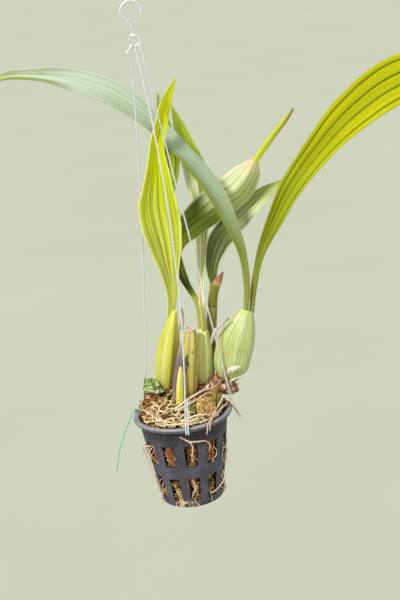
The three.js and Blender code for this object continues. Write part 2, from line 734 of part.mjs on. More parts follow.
// Roots outside the medium
const ROOTS = {
  root_over_front_rim: {
    strands: [
      { points: [[45.2, 7, 95.8], [44.7, -2, 94.6], [41.2, -10.5, 95.9], [36.6, -19, 95.4], [32, -27, 94.4],
        [27, -38, 93.5], [23.8, -45.4, 93.3], [22.8, -48.8, 89], [21.8, -48.6, 84]], radius: 1.05 },
      { points: [[33, -25, 93.6], [29.6, -32, 94.2], [27.8, -39, 94.2], [26.2, -44.6, 93.6],
        [25.4, -47.8, 89.5], [24.6, -47.4, 86.8]], radius: 0.9 },
    ],
    material: ROOT_CREAM,
  },
  root_over_right_rim: {
    strands: [
      { points: [[44.6, 1.5, 99], [48.5, 1, 96.5], [51.8, 0.5, 91], [53.6, 0.3, 84], [57.4, 0, 75.5]],
        radius: 1.05 },
    ],
    material: ROOT_CREAM,
  },
  root_brown_right: {
    strands: [
      { points: [[45, -4.5, 94.4], [49, -4, 94], [52.4, -3.4, 89.5], [57.6, -2.6, 80.5]], radius: 0.75 },
    ],
    material: ROOT_BROWN,
  },
  root_upper_slot: {
    strands: [
      { points: [[-4.6, -45.8, 83], [-1, -45.4, 80.2], [4.1, -45.2, 76.8], [13.2, -43.7, 75.4],
        [20.4, -39.6, 73], [23.1, -37.2, 67], [22, -34.4, 61]], radius: 1 },
      { points: [[4.1, -45.2, 76.8], [6.3, -44.6, 71], [5.7, -42.9, 65], [4.3, -40.1, 58],
        [4.1, -38.4, 52]], radius: 0.9 },
    ],
    material: ROOT_CREAM,
  },
  root_lower_slot: {
    strands: [
      { points: [[2.1, -34.4, 31.6], [3.3, -36.5, 28.6], [4.1, -36.3, 25], [1.9, -35.5, 19],
        [-0.2, -34.3, 14], [-0.4, -32.5, 11.4]], radius: 0.9 },
      { points: [[4.1, -36.3, 25], [5.8, -35.3, 24], [6.8, -34, 23.6]], radius: 0.75 },
    ],
    material: ROOT_CREAM,
  },
  root_left_side: {
    strands: [
      { points: [[-35.2, -18, 66.2], [-39.6, -18.2, 66.6], [-43.7, -10.8, 63], [-43.3, -9.4, 58],
        [-41.7, -9.6, 52], [-39.7, -9.8, 43], [-38, -9.9, 34], [-35.6, -10.9, 25],
        [-32.6, -12.2, 17.4]], radius: 0.85 },
    ],
    material: ROOT_CREAM,
  },
  root_right_low: {
    strands: [
      { points: [[32.8, -15.9, 29], [34.4, -16.5, 25], [30.3, -22.1, 18.6], [24.2, -26.8, 14.6],
        [19.2, -29.4, 12.8], [19.1, -26.3, 12.4]], radius: 0.85 },
    ],
    material: ROOT_CREAM,
  },
};

function rootBundle({ strands }) {
  const pieces = strands.map(({ points, radius }) => (
    root(points.map(([x, y, z]) => point(x, y, z)), radius)
  ));
  return geometryOf(joined(pieces));
}

// The pale spike beside the right bulb
const SPIKE_LINE = [
  point(51.5, 14.4, 108.9), point(52, 8.4, 115), point(61, 4.8, 118.8), point(70, 3, 121.8),
];

// Small weeds on the medium: thin leaflets that stand out of a low core
function weed(middle, size, leaflets, seed) {
  const draw = seededRandom(seed);
  const core = new THREE.SphereGeometry(size * 0.62, 7, 4).rotateX(Math.PI / 2).scale(1, 1, 0.6);
  const pieces = [core];
  for (let k = 0; k < leaflets; k += 1) {
    const around = (k / leaflets) * 2 * Math.PI + draw();
    const lift = (0.15 + 0.75 * draw()) * Math.PI * 0.5;
    const outward = point(
      Math.cos(around) * Math.cos(lift), Math.sin(around) * Math.cos(lift), Math.sin(lift),
    );
    const leaflet = new THREE.OctahedronGeometry(1).scale(0.5, size * 0.3, size * 0.42);
    const turn = new THREE.Quaternion().setFromUnitVectors(UP, outward);
    leaflet.rotateZ(draw() * Math.PI).applyQuaternion(turn);
    leaflet.translate(outward.x * size * 0.66, outward.y * size * 0.66, outward.z * size * 0.46);
    pieces.push(leaflet);
  }
  const body = geometryOf(joined(pieces));
  return body.translate(middle.x, middle.y, middle.z);
}

// Hanger wires: each loops round the hook's eye, bows a little on its way down, passes outside
// the rim, hooks under the lip and turns back up beside itself
const HANGER_WIRES = [
  { name: 'hanger_wire_front', degrees: -86.5, bow: 10.5, eyeDegrees: 0, eyeSide: -1 },
  { name: 'hanger_wire_right', degrees: 10, bow: 0, eyeDegrees: 42, eyeSide: -1 },
  { name: 'hanger_wire_left', degrees: 140, bow: 4.5, eyeDegrees: -42, eyeSide: 1 },
];

function hangerWire({ degrees, bow, eyeDegrees, eyeSide }) {
  const eyeAngle = eyeDegrees * DEGREE;
  const eyeOut = point(Math.sin(eyeAngle), 0, -Math.cos(eyeAngle));
  const eyePoint = point(0, 0, EYE_HEIGHT).addScaledVector(eyeOut, EYE_RADIUS);
  const loopRadius = HOOK_WIRE_RADIUS + GAP + WIRE_RADIUS;
  const sideways = point(0, eyeSide, 0);
  const loopPoint = (out, over) => (
    eyePoint.clone().addScaledVector(eyeOut, out).addScaledVector(sideways, over * loopRadius)
  );
  const angle = degrees * DEGREE;
  const outward = point(Math.cos(angle), Math.sin(angle), 0);
  const tangent = point(-Math.sin(angle), Math.cos(angle), 0);
  const rimReach = POT_RIM_RADIUS + WIRE_RADIUS + GAP;
  const strandOffset = WIRE_RADIUS + GAP / 2 + 0.1;
  const top = loopPoint(2, 1);
  const rim = outward.clone().multiplyScalar(rimReach).setZ(POT_HEIGHT);
  const strand = (share, offset) => {
    const at = rim.clone().lerp(top, share);
    at.x += 4 * bow * share * (1 - share);
    return at.addScaledVector(tangent, offset * strandOffset);
  };
  const hooked = (reach, height, offset) => (
    outward.clone().multiplyScalar(reach).setZ(height).addScaledVector(tangent, offset * strandOffset)
  );
  const lipBottom = POT_HEIGHT - POT_LIP_HEIGHT;
  const under = lipBottom - WIRE_RADIUS - GAP;
  const points = [loopPoint(8, -1), loopPoint(3, -1), loopPoint(0, -1)];
  points.push(loopPoint(-0.7 * loopRadius, -0.7), loopPoint(-loopRadius, 0));
  points.push(loopPoint(-0.7 * loopRadius, 0.7), loopPoint(0, 1), top);
  for (const share of [0.94, 0.8, 0.62, 0.45, 0.3, 0.16]) {
    points.push(strand(share, share > 0.2 ? 0 : -0.7));
  }
  points.push(strand(0.07, -1), strand(0, -1), hooked(rimReach, lipBottom, -1));
  points.push(hooked(rimReach - 1, under, -1), hooked(POT_RIM_RADIUS - 2.6, under, -1));
  points.push(hooked(POT_RIM_RADIUS - 3.7, under, 0), hooked(POT_RIM_RADIUS - 2.6, under, 1));
  points.push(hooked(rimReach - 1, under, 1), hooked(rimReach, lipBottom, 1), strand(0, 1));
  const tailShare = WIRE_TAIL / (EYE_HEIGHT - POT_HEIGHT);
  points.push(strand(tailShare * 0.5, 1), strand(tailShare, 1));
  return sweep(smoothLine(points, 1), () => WIRE_RADIUS, WIRE_SIDES);
}

// The hook: a round eye below, and an open hook above for the bar it hangs on. The eye lies
// flat but for its two ends, which drift apart where the wire passes itself.
function hangerHook() {
  const points = [];
  for (let degrees = 60; degrees <= 400; degrees += 20) {
    const angle = degrees * DEGREE;
    const drift = 1.55 * HOOK_WIRE_RADIUS * Math.pow((degrees - 230) / 170, 7);
    const height = EYE_HEIGHT + EYE_RADIUS * Math.cos(angle);
    points.push(point(-EYE_RADIUS * Math.sin(angle), drift, height));
  }
  points.push(point(-1.2, 1.2, EYE_HEIGHT + EYE_RADIUS + 2.2), point(0, 0.4, EYE_HEIGHT + EYE_RADIUS + 6));
  for (let degrees = -90; degrees <= 120; degrees += 20) {
    const angle = (90 - degrees) * DEGREE;
    points.push(point(HOOK_RADIUS * Math.cos(angle), 0, HOOK_HEIGHT + HOOK_RADIUS * Math.sin(angle)));
  }
  return sweep(smoothLine(points, 1), () => HOOK_WIRE_RADIUS, WIRE_SIDES);
}

// The string tied at the left of the rim, a free cord
const STRING_RADIUS = 0.5;
const STRING_STEPS = 28;
const STRING_SIDES = 8;
const STRING_LINE = [
  [-41.9, 11, 95.6], [-44.6, 10.9, 94.6], [-47.4, 10.7, 93.2], [-50.2, 10.5, 92.4], [-53, 10.3, 88],
  [-57.6, 10, 79.8], [-60.6, 10, 74], [-63.3, 10, 67.8], [-65.9, 10, 62.2], [-68.1, 10, 57.2],
  [-70.1, 10, 51], [-72, 10, 44.8], [-73.6, 10, 38.6], [-75, 10, 32.4],
];

function greenString() {
  const path = new THREE.CatmullRomCurve3(
    STRING_LINE.map(([x, y, z]) => point(x, y, z)), false, 'centripetal',
  );
  const corners = [];
  for (let k = 0; k < STRING_SIDES; k += 1) {
    const angle = (k / STRING_SIDES) * 2 * Math.PI;
    corners.push(new THREE.Vector2(STRING_RADIUS * Math.cos(angle), STRING_RADIUS * Math.sin(angle)));
  }
  const section = new THREE.Shape(corners);
  return new THREE.ExtrudeGeometry(section, {
    steps: STRING_STEPS, extrudePath: path, bevelEnabled: false,
  });
}

// The parts in place
add('net_pot', netPot(), POT_PLASTIC);

const leafFeet = {
  bulb_left: ['leaf_front', 'leaf_folded'],
  bulb_old: [],
  bulb_middle: ['leaf_middle_left', 'leaf_middle_erect'],
  bulb_right: ['leaf_long_left', 'leaf_long_right'],
  bulb_bud: [],
};

function footOf(name) {
  return blade(LEAVES[name], GAP, 0.2);
}

for (const [name, bulbData] of Object.entries(BULBS)) {
  const body = cutBy(solid(bulb(bulbData)), leafFeet[name].map(footOf));
  add(name, geometryOf(body), bulbData.material);
}

add('shoot_new', geometryOf(cutBy(solid(shoot()), [footOf('leaf_shoot')])), SHEATH_OLIVE);

const sunkPieces = [
  ...Object.values(BULBS).map(bulbSocket), shootSocket(), blade(SHEATHS.sheath_old, GAP, 0.4),
];
const rhizomeBody = joined(RHIZOME_RUNS.map((run) => rhizomeRun(run)));
add('rhizome', geometryOf(cutBy(rhizomeBody, sunkPieces)), RHIZOME_BROWN);

const mediumWhole = joined([mediumBody(), ...surfaceRoots()]);
const mediumCutters = [...sunkPieces, ...RHIZOME_RUNS.map((run) => rhizomeRun(run, GAP))];
add('growing_medium', geometryOf(cutBy(mediumWhole, mediumCutters)), MEDIUM_FIBRE);

for (const [name, leafData] of Object.entries(LEAVES)) {
  add(name, blade(leafData), leafData.material);
}

for (const [name, sheathData] of Object.entries(SHEATHS)) {
  add(name, blade(sheathData), sheathData.material);
}

add('spike_white', sweep(smoothLine(SPIKE_LINE, 2), (t) => 1.6 - 1.2 * t, 5), DRY_PAPER);
add('weed_tuft', weed(point(-29, 15.5, 110.9), 10, 12, 3), WEED_GREEN);
add('weed_small', weed(point(-12.6, 7.6, 107.2), 4, 7, 5), WEED_GREEN);

for (const [name, rootData] of Object.entries(ROOTS)) {
  add(name, rootBundle(rootData), rootData.material);
}

for (const wire of HANGER_WIRES) {
  add(wire.name, hangerWire(wire), GALVANISED);
}
add('hanger_hook', hangerHook(), GALVANISED);
add('green_string', greenString(), STRING_TEAL);

export default model;
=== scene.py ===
"""A potted black orchid on a wire hanger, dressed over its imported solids.

The scene is in metres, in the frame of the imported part. Points and sizes are written in
millimetres, and a place along or across a piece as a share from 0 to 1. A colour is red, green
and blue as the eye sees them, 0 to 255 each.
"""

import math
import random

import bmesh
import bpy
from mathutils import Matrix, Vector, noise


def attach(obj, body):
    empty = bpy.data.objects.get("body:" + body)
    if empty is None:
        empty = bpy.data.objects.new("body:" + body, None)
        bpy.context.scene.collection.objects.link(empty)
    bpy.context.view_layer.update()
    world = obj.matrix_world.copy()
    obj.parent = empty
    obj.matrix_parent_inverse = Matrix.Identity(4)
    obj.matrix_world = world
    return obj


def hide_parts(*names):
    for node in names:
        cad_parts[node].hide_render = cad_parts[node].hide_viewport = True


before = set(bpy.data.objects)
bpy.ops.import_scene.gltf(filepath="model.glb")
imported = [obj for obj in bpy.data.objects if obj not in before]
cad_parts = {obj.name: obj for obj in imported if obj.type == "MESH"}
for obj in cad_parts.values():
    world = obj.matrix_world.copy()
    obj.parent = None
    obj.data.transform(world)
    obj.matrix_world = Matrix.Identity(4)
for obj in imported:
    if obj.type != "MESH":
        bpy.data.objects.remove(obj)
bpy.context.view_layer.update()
scene = bpy.context.scene
scene.view_settings.view_transform = "Standard"

MM = 0.001
FULL_TURN = 2 * math.pi
RIGHT = Vector((1, 0, 0))

VIEW_PITCH, VIEW_ROLL = math.radians(16), math.radians(-7)
VIEW_PLACE = (0.03088, -1.12355, 0.52727)
VIEW_LENS, VIEW_SENSOR, VIEW_REACH = 71.57, 36, 1000

KEY_SUN = (2.9, 12, (-0.5, -0.62, 0.72))
FILL_SUN = (0.5, 50, (0.5, -0.9, 0.25))
SKY_COLOUR, SKY_STRENGTH = (226, 230, 224), 0.58
FLOOR_HALF, FLOOR_DROP = 150, 0.6


def smooth_step(value):
    share = min(1.0, max(0.0, value))
    return share * share * (3 - 2 * share)


def mix(low, high, share):
    return low + (high - low) * share


def polar(reach, angle, height):
    """The point at a distance and an angle from the pot's axis."""
    return Vector((reach * math.cos(angle), reach * math.sin(angle), height))


def round_line(at, side, over, angle, reach, depth=1.0):
    """A point round a line, whose two ways across are side and over."""
    return at + side * (reach * math.cos(angle)) + over * (reach * depth * math.sin(angle))


def tint(red, green, blue):
    """A colour as a shader wants it."""
    def linear(level):
        share = level / 255
        return share / 12.92 if share <= 0.04045 else ((share + 0.055) / 1.055) ** 2.4
    return (linear(red), linear(green), linear(blue), 1.0)


def set_viewer():
    ahead = Vector((0, math.cos(VIEW_PITCH), -math.sin(VIEW_PITCH)))
    upright = Vector((0, math.sin(VIEW_PITCH), math.cos(VIEW_PITCH)))
    across = RIGHT * math.cos(VIEW_ROLL) + upright * math.sin(VIEW_ROLL)
    up = upright * math.cos(VIEW_ROLL) - RIGHT * math.sin(VIEW_ROLL)
    lens = bpy.data.cameras.new("viewer")
    lens.sensor_width, lens.lens, lens.clip_end = VIEW_SENSOR, VIEW_LENS, VIEW_REACH
    viewer = bpy.data.objects.new("viewer", lens)
    viewer.matrix_world = Matrix((across, up, -ahead)).transposed().to_4x4()
    viewer.location = VIEW_PLACE
    scene.collection.objects.link(viewer)
    scene.camera = viewer


# Finishes

class Finish:
    """A material built up node by node around one shader."""

    def __init__(self, name, roughness=0.5, metallic=0.0, specular=0.4):
        self.material = bpy.data.materials.new(name)
        self.material.use_nodes = True
        self.nodes = self.material.node_tree.nodes
        self.links = self.material.node_tree.links
        self.shade = None
        self.shader = self.nodes["Principled BSDF"]
        self.shader.inputs["Roughness"].default_value = roughness
        self.shader.inputs["Metallic"].default_value = metallic
        self.shader.inputs["Specular IOR Level"].default_value = specular

    def add(self, kind, inputs, **settings):
        node = self.nodes.new("ShaderNode" + kind)
        for name, value in settings.items():
            setattr(node, name, value)
        for socket, value in inputs.items():
            if isinstance(value, bpy.types.NodeSocket):
                self.links.new(value, node.inputs[socket])
            else:
                node.inputs[socket].default_value = value
        return node

    def place(self, *stretch):
        """Where a point of the piece is, in metres, stretched along each axis."""
        where = self.add("TexCoord", {}).outputs["Object"]
        return self.add("Mapping", {"Vector": where, "Scale": stretch or (1, 1, 1)}).outputs["Vector"]

    def sheet(self, across=1, along=1):
        """The piece's own across and along, stretched."""
        where = self.add("UVMap", {}).outputs["UV"]
        return self.add("Mapping", {"Vector": where, "Scale": (across, along, 1)}).outputs["Vector"]

    def parts(self, vector):
        return self.add("SeparateXYZ", {"Vector": vector}).outputs

    def tone(self):
        return self.add("Attribute", {}, attribute_name="tone").outputs["Fac"]

    def noise(self, vector, scale, detail=3.0, rough=0.55):
        inputs = {"Vector": vector, "Scale": scale, "Detail": detail, "Roughness": rough}
        return self.add("TexNoise", inputs).outputs["Fac"]

    def mottle(self, fineness, detail=3.0, rough=0.55, upward=1):
        """Blotches through the piece, drawn out upward by less than 1."""
        return self.noise(self.place(1, 1, upward), fineness, detail, rough)

    def grain(self, across, along, detail=3.0, rough=0.55):
        """Streaks that follow the piece's own across and along."""
        return self.noise(self.sheet(across, along), 1.0, detail, rough)

    def cells(self, scale, feature="F1"):
        return self.add("TexVoronoi", {"Vector": self.place(), "Scale": scale}, feature=feature).outputs

    def reckon(self, operation, first, second=0.0):
        return self.add("Math", {0: first, 1: second}, operation=operation).outputs[0]

    def times(self, first, second):
        return self.reckon("MULTIPLY", first, second)

    def plus(self, first, second):
        return self.reckon("ADD", first, second)

    def minus(self, first, second):
        return self.reckon("SUBTRACT", first, second)

    def ramp(self, factor, *stops):
        """Stops of (place, level) or (place, red, green, blue)."""
        node = self.add("ValToRGB", {"Fac": factor})
        marks = node.color_ramp.elements
        for place, *_ in stops[2:]:
            marks.new(place)
        for mark, (place, *colour) in zip(marks, stops):
            mark.position = place
            mark.color = tint(*colour) if len(colour) == 3 else (*colour, *colour, *colour, 1.0)
        return node.outputs["Color"]

    def fade(self, factor, start, end, low=0.0, high=1.0):
        return self.ramp(factor, (start, low), (end, high))

    def lay(self, colour, factor, mode="MIX"):
        """Lays a colour, its own or another output, over the shade so far."""
        above = tint(*colour) if isinstance(colour, tuple) else colour
        inputs = {0: factor, 6: self.shade, 7: above}
        self.shade = self.add("Mix", inputs, data_type="RGBA", blend_type=mode).outputs[2]

    def dye(self, colour, factor=1.0):
        """Multiplies the shade so far by a colour."""
        self.lay(colour, factor, "MULTIPLY")

    def ripples(self, across, count, shift=0.0):
        """From 1 to 0 and back, count times across."""
        angle = self.plus(self.times(across, FULL_TURN * count), shift)
        return self.plus(self.times(self.reckon("COSINE", angle), 0.5), 0.5)

    def swayed(self, value, across, along, reach):
        """A value, pushed to and fro a little by a slow noise."""
        return self.plus(value, self.times(self.minus(self.grain(across, along, 1.0), 0.5), reach))

    def bump(self, height, strength, depth):
        node = self.add("Bump", {"Height": height, "Strength": strength, "Distance": depth * MM})
        self.links.new(node.outputs["Normal"], self.shader.inputs["Normal"])

    def dull(self, value):
        self.links.new(value, self.shader.inputs["Roughness"])

    def done(self):
        self.links.new(self.shade, self.shader.inputs["Base Color"])
        return self.material


def leaf_finish(name, left, right=None, folds=5, crease_vein_and_shade=(170, 182, 120), margin=None, split=0.5,
                roughness=0.42, bands=0.6, creased=((0, 1), (1, 1)), streaks=()):
    """A pleated leaf: its colour along each side of a split, soft bands, streaks, veins, and creases darkened
    partly in the veins' own colour and partly as painted shade in the pleats' valleys.
    A streak has its fineness, colour, start, end and strength."""
    finish = Finish(name, roughness, specular=0.18)
    parts = finish.parts(finish.sheet())
    along = finish.swayed(parts["Y"], 14, 3, 0.05)
    across = finish.swayed(parts["X"], 3, 9, 0.03)
    finish.shade = finish.ramp(along, *left)
    if right:
        finish.lay(finish.ramp(along, *right), finish.fade(across, split - 0.015, split + 0.015))
    band = finish.fade(finish.grain(10, 1.4, 2.0, 0.5), 0.42, 0.6)
    finish.dye((214, 222, 150), finish.times(band, bands))
    for fineness, dye, start, end, strength in streaks:
        stripe = finish.fade(finish.grain(fineness, 1.2, 3.0, 0.6), 0.48, 0.6)
        reach = finish.ramp(along, (start, 0), (start + 0.08, strength), (end - 0.08, strength), (end, 0))
        finish.lay(dye, finish.times(stripe, reach))
    # The pleats' valleys take the crease colour: partly the veins' own colour, partly painted shade in the
    # folds.
    pleat_valley_shade = finish.fade(finish.ripples(across, folds), 0, 0.16, 1, 0)
    finish.dye(crease_vein_and_shade, finish.times(pleat_valley_shade, finish.ramp(along, *creased)))
    veins = finish.grain(95, 1.3)
    finish.dye(finish.fade(veins, 0.3, 0.7, 0.82, 1.14))
    if margin:
        rim = finish.ramp(parts["X"], (0, 1), (0.02, 1), (0.05, 0), (0.95, 0), (0.98, 1))
        finish.lay(margin, finish.times(rim, 0.8))
    finish.bump(veins, 0.35, 0.25)
    return finish.done()


def bulb_finish(name, heights, ribs, phase, groove, crest=None, specks=None, stain=None, fine=0,
                patches=(240, 234, 196)):
    """Bulb skin: its colour up the height, its grooves, ribs, specks, fine ridges and one stain.
    A stain has its middle across and up, its reach across and up, and its colour."""
    finish = Finish(name, 0.36, specular=0.42)
    parts = finish.parts(finish.sheet())
    finish.shade = finish.ramp(finish.swayed(parts["Y"], 5, 3, 0.16), *heights)
    finish.dye(patches, finish.fade(finish.mottle(70, 4.0, upward=0.45), 0.45, 0.7))
    across = finish.swayed(parts["X"], 6, 5, 0.03)
    waves = finish.ripples(across, ribs, phase)
    finish.lay(groove, finish.fade(waves, 0, 0.3, 0.9, 0))
    if crest:
        finish.lay(crest, finish.fade(waves, 0.78, 1, 0, 0.7))
    relief = streak = finish.grain(60, 1.8, 4.0, 0.6)
    if fine:
        ridges = finish.ripples(across, fine)
        relief = finish.plus(streak, ridges)
        finish.dye((204, 208, 176), finish.fade(ridges, 0, 0.45, 0.6, 0))
    finish.dye(finish.fade(streak, 0.28, 0.7, 0.8, 1.14))
    if specks:
        finish.lay(specks, finish.fade(finish.mottle(260, 2.0, 0.4, 0.6), 0.66, 0.72))
    if stain:
        middle_across, middle_up, reach_across, reach_up, dye = stain
        aside = finish.reckon("DIVIDE", finish.minus(parts["X"], middle_across), reach_across)
        above = finish.reckon("DIVIDE", finish.minus(parts["Y"], middle_up), reach_up)
        far = finish.plus(finish.times(aside, aside), finish.times(above, above))
        ragged = finish.times(finish.mottle(420, 4.0, 0.75, 0.6), 3.4)
        edge = finish.minus(finish.plus(far, ragged), 1.6)
        finish.lay(dye, finish.fade(edge, 0.3, 0.75, 0.9, 0))
    finish.bump(relief, 0.25, 0.3)
    return finish.done()


def dry_finish(name, line, *lengthwise, roughness=0.85):
    """A dry sheath or bract: its colour along it, fibres of the line's colour and a pale rim."""
    finish = Finish(name, roughness, specular=0.2)
    parts = finish.parts(finish.sheet())
    finish.shade = finish.ramp(finish.swayed(parts["Y"], 4, 4, 0.3), *lengthwise)
    streak = finish.grain(26, 1.6, 4.0, 0.7)
    finish.lay(line, finish.fade(streak, 0.4, 0.6, 0.75, 0))
    rim = finish.ramp(parts["X"], (0, 1), (0.07, 0), (0.93, 0), (1, 1))
    finish.lay((236, 218, 186), finish.times(rim, 0.6))
    finish.bump(streak, 0.5, 0.35)
    return finish.done()


def bark_finish(name, dark, stretch, *tones):
    """Bark, husk or scales: each piece has its own tone, with a dark grain along its length."""
    finish = Finish(name, 0.9, specular=0.15)
    finish.shade = finish.ramp(finish.tone(), *tones)
    grain = finish.noise(finish.place(*stretch), 1.0, 5.0, 0.65)
    finish.lay(dark, finish.fade(grain, 0.36, 0.55, 0.85, 0))
    finish.lay((226, 186, 120), finish.fade(finish.mottle(320), 0.55, 0.75, 0, 0.5))
    finish.bump(grain, 0.8, 0.6)
    return finish.done()


def root_finish(name, pale, warm, dark):
    """A root or a fibre: pale, with warmer and darker stretches and a rough skin."""
    finish = Finish(name, 0.75, specular=0.25)
    finish.shade = finish.ramp(finish.mottle(90), (0.36, *warm), (0.52, *pale), (0.7, *warm))
    skin = finish.mottle(900, rough=0.7)
    finish.lay(dark, finish.fade(skin, 0.36, 0.52, 0.8, 0))
    finish.bump(skin, 0.5, 0.25)
    return finish.done()


def leaflet_finish(name, *tones, roughness=0.55):
    """Moss or weed: small soft leaves, each with its own tone."""
    finish = Finish(name, roughness, specular=0.25)
    mottle = finish.mottle(500)
    finish.shade = finish.ramp(finish.tone(), *tones)
    finish.dye(finish.fade(mottle, 0.3, 0.7, 0.75, 1.15))
    finish.bump(mottle, 0.3, 0.2)
    return finish.done()


def plastic_finish():
    """Dull dark grey moulded plastic: dusty, with a painted shadow below the lip, and pale bands on the lip
    and brim that are partly wear and partly painted highlight.
    """
    finish = Finish("pot_plastic", 0.5, specular=0.35)
    cloud = finish.mottle(60, 6.0, 0.65, 0.7)
    finish.shade = finish.ramp(cloud, (0.3, 46, 44, 56), (0.5, 66, 64, 77), (0.72, 94, 92, 106))
    height = finish.parts(finish.place())["Z"]
    decimetres = finish.times(height, 10)
    # Painted shadow: the wall just below the lip is darkened almost to black, where the lip shades it.
    under = finish.ramp(decimetres, (0.68, 0), (0.79, 0.85), (0.86, 0.95), (0.875, 0))
    finish.lay((26, 23, 28), under)
    # Pale bands along the lip's edges, dark between them: partly wear, partly painted highlight on the edges.
    lip_wear_and_highlight = finish.ramp(finish.minus(finish.times(height, 100), 8.5),
                      (0.24, 0), (0.29, 0.7), (0.4, 0.2), (0.52, 0.15), (0.6, 0.6), (0.66, 1))
    finish.lay(finish.ramp(cloud, (0.3, 104, 100, 114), (0.6, 150, 146, 158)), lip_wear_and_highlight)
    # A pale band round the top of the brim: partly wear, partly painted highlight.
    brim_wear_and_highlight = finish.fade(decimetres, 0.908, 0.916, 0, 0.9)
    finish.lay(finish.ramp(cloud, (0.3, 118, 113, 120), (0.6, 168, 162, 170)), brim_wear_and_highlight)
    dust = finish.mottle(700, 5.0, 0.75)
    finish.lay((146, 142, 154), finish.fade(dust, 0.5, 0.75, 0, 0.5))
    finish.dull(finish.fade(cloud, 0.3, 0.7, 0.42, 0.62))
    finish.bump(dust, 0.25, 0.2)
    return finish.done()


def wire_finish():
    """Galvanised wire: bright, with a crystalline bloom of zinc."""
    finish = Finish("galvanised", 0.36, metallic=0.45, specular=0.5)
    bloom = finish.cells(900)["Distance"]
    finish.dull(finish.fade(bloom, 0, 0.8, 0.28, 0.45))
    finish.bump(bloom, 0.15, 0.05)
    finish.shade = finish.ramp(bloom, (0.1, 208, 206, 218), (0.7, 240, 238, 246))
    return finish.done()


def string_finish():
    """Thin teal string, its strands twisted round each other."""
    finish = Finish("string_teal", 0.55, specular=0.3)
    twist = finish.mottle(1600, 2.0)
    finish.bump(twist, 0.6, 0.2)
    finish.shade = finish.ramp(twist, (0.3, 46, 140, 108), (0.55, 110, 208, 174), (0.75, 170, 232, 206))
    return finish.done()


def filling_finish():
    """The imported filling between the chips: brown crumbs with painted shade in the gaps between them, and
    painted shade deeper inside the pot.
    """
    finish = Finish("medium_core", 0.95, specular=0.1)
    crumb = finish.parts(finish.cells(230)["Color"])["X"]
    finish.shade = finish.ramp(crumb, (0, 60, 36, 20), (0.35, 112, 72, 38), (0.6, 150, 104, 54),
                               (0.85, 184, 150, 78), (1, 206, 182, 104))
    # Painted shade in the gaps between the crumbs.
    gap_shade = finish.fade(finish.cells(230, "DISTANCE_TO_EDGE")["Distance"], 0.02, 0.2, 1, 0)
    finish.lay((36, 22, 15), gap_shade)
    grit = finish.mottle(800, 4.0, 0.7)
    finish.dye(finish.fade(grit, 0.3, 0.7, 0.5, 1.25))
    # Painted shade inside the pot: the filling is darkened lower down, where the pot shades it.
    decimetres = finish.times(finish.parts(finish.place())["Z"], 10)
    finish.dye(finish.fade(decimetres, 0.8, 0.92, 0.42, 1))
    finish.bump(finish.minus(grit, gap_shade), 1.0, 1.2)
    return finish.done()


# Shapes

def show(name, data, finishes, slot, nodes=()):
    """Puts a finished shape in the scene, riding with the part."""
    if isinstance(data, bmesh.types.BMesh):
        data = as_mesh(name, data)
    piece = bpy.data.objects.new(name, data)
    scene.collection.objects.link(piece)
    for finish in finishes:
        data.materials.append(finish)
    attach(piece, "root")
    if nodes:
        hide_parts(*nodes)
    return piece


def as_mesh(name, shape):
    mesh = bpy.data.meshes.new(name)
    shape.to_mesh(mesh)
    shape.free()
    mesh.shade_smooth()
    return mesh


def thicken(piece, thickness, **settings):
    wall = piece.modifiers.new("thickness", "SOLIDIFY")
    wall.thickness = thickness * MM
    for name, value in settings.items():
        setattr(wall, name, value)


def on_line(points, share):
    """The point a share of the way along a smooth line through chosen points."""
    last = len(points) - 1
    here = min(int(last * share), last - 1)
    weight = last * share - here
    second, third = points[here], points[here + 1]
    first = points[here - 1] if here else second * 2 - third
    fourth = points[here + 2] if here + 2 <= last else third * 2 - second
    gaps = [math.sqrt((b - a).length) for a, b in ((first, second), (second, third), (third, fourth))]
    middle = gaps[1] if gaps[1] > 1e-4 else 1.0
    before = gaps[0] if gaps[0] > 1e-4 else middle
    after = gaps[2] if gaps[2] > 1e-4 else middle
    leaving = (second - first) / before - (third - first) / (before + middle) + (third - second) / middle
    coming = (third - second) / middle - (fourth - second) / (middle + after) + (fourth - third) / after
    leaving, coming = leaving * middle, coming * middle
    square = (third - second) * 3 - leaving * 2 - coming
    cube = (second - third) * 2 + leaving + coming
    return second + leaving * weight + square * weight ** 2 + cube * weight ** 3


def smooth_line(points, steps):
    line = [Vector(point) for point in points]
    return [on_line(line, i / steps) for i in range(steps + 1)]


def frames_along(line):
    """Each point of a line with the way along it and two ways across it."""
    frames = []
    side = RIGHT.copy()
    for i, at in enumerate(line):
        along = (line[min(i + 1, len(line) - 1)] - line[max(i - 1, 0)]).normalized()
        side = (side - along * side.dot(along)).normalized()
        frames.append((at, along, side, along.cross(side)))
    return frames


def join_seams(shape):
    bmesh.ops.remove_doubles(shape, verts=shape.verts, dist=0.002 * MM)
    bmesh.ops.recalc_face_normals(shape, faces=shape.faces)


def draped_grid(columns, rows, place, closed=False):
    """A grid whose corners are put where place(across, along) says, both from 0 to 1.
    closed joins its two long sides, as on a bulb that narrows to a point at each end."""
    shape = bmesh.new()
    bmesh.ops.create_grid(shape, x_segments=columns, y_segments=rows, size=0.5)
    sheet = shape.loops.layers.uv.new("UVMap")
    for face in shape.faces:
        for loop in face.loops:
            loop[sheet].uv = (loop.vert.co.x + 0.5, loop.vert.co.y + 0.5)
    for corner in shape.verts:
        corner.co = place(corner.co.x + 0.5, corner.co.y + 0.5) * MM
    if closed:
        join_seams(shape)
    return shape


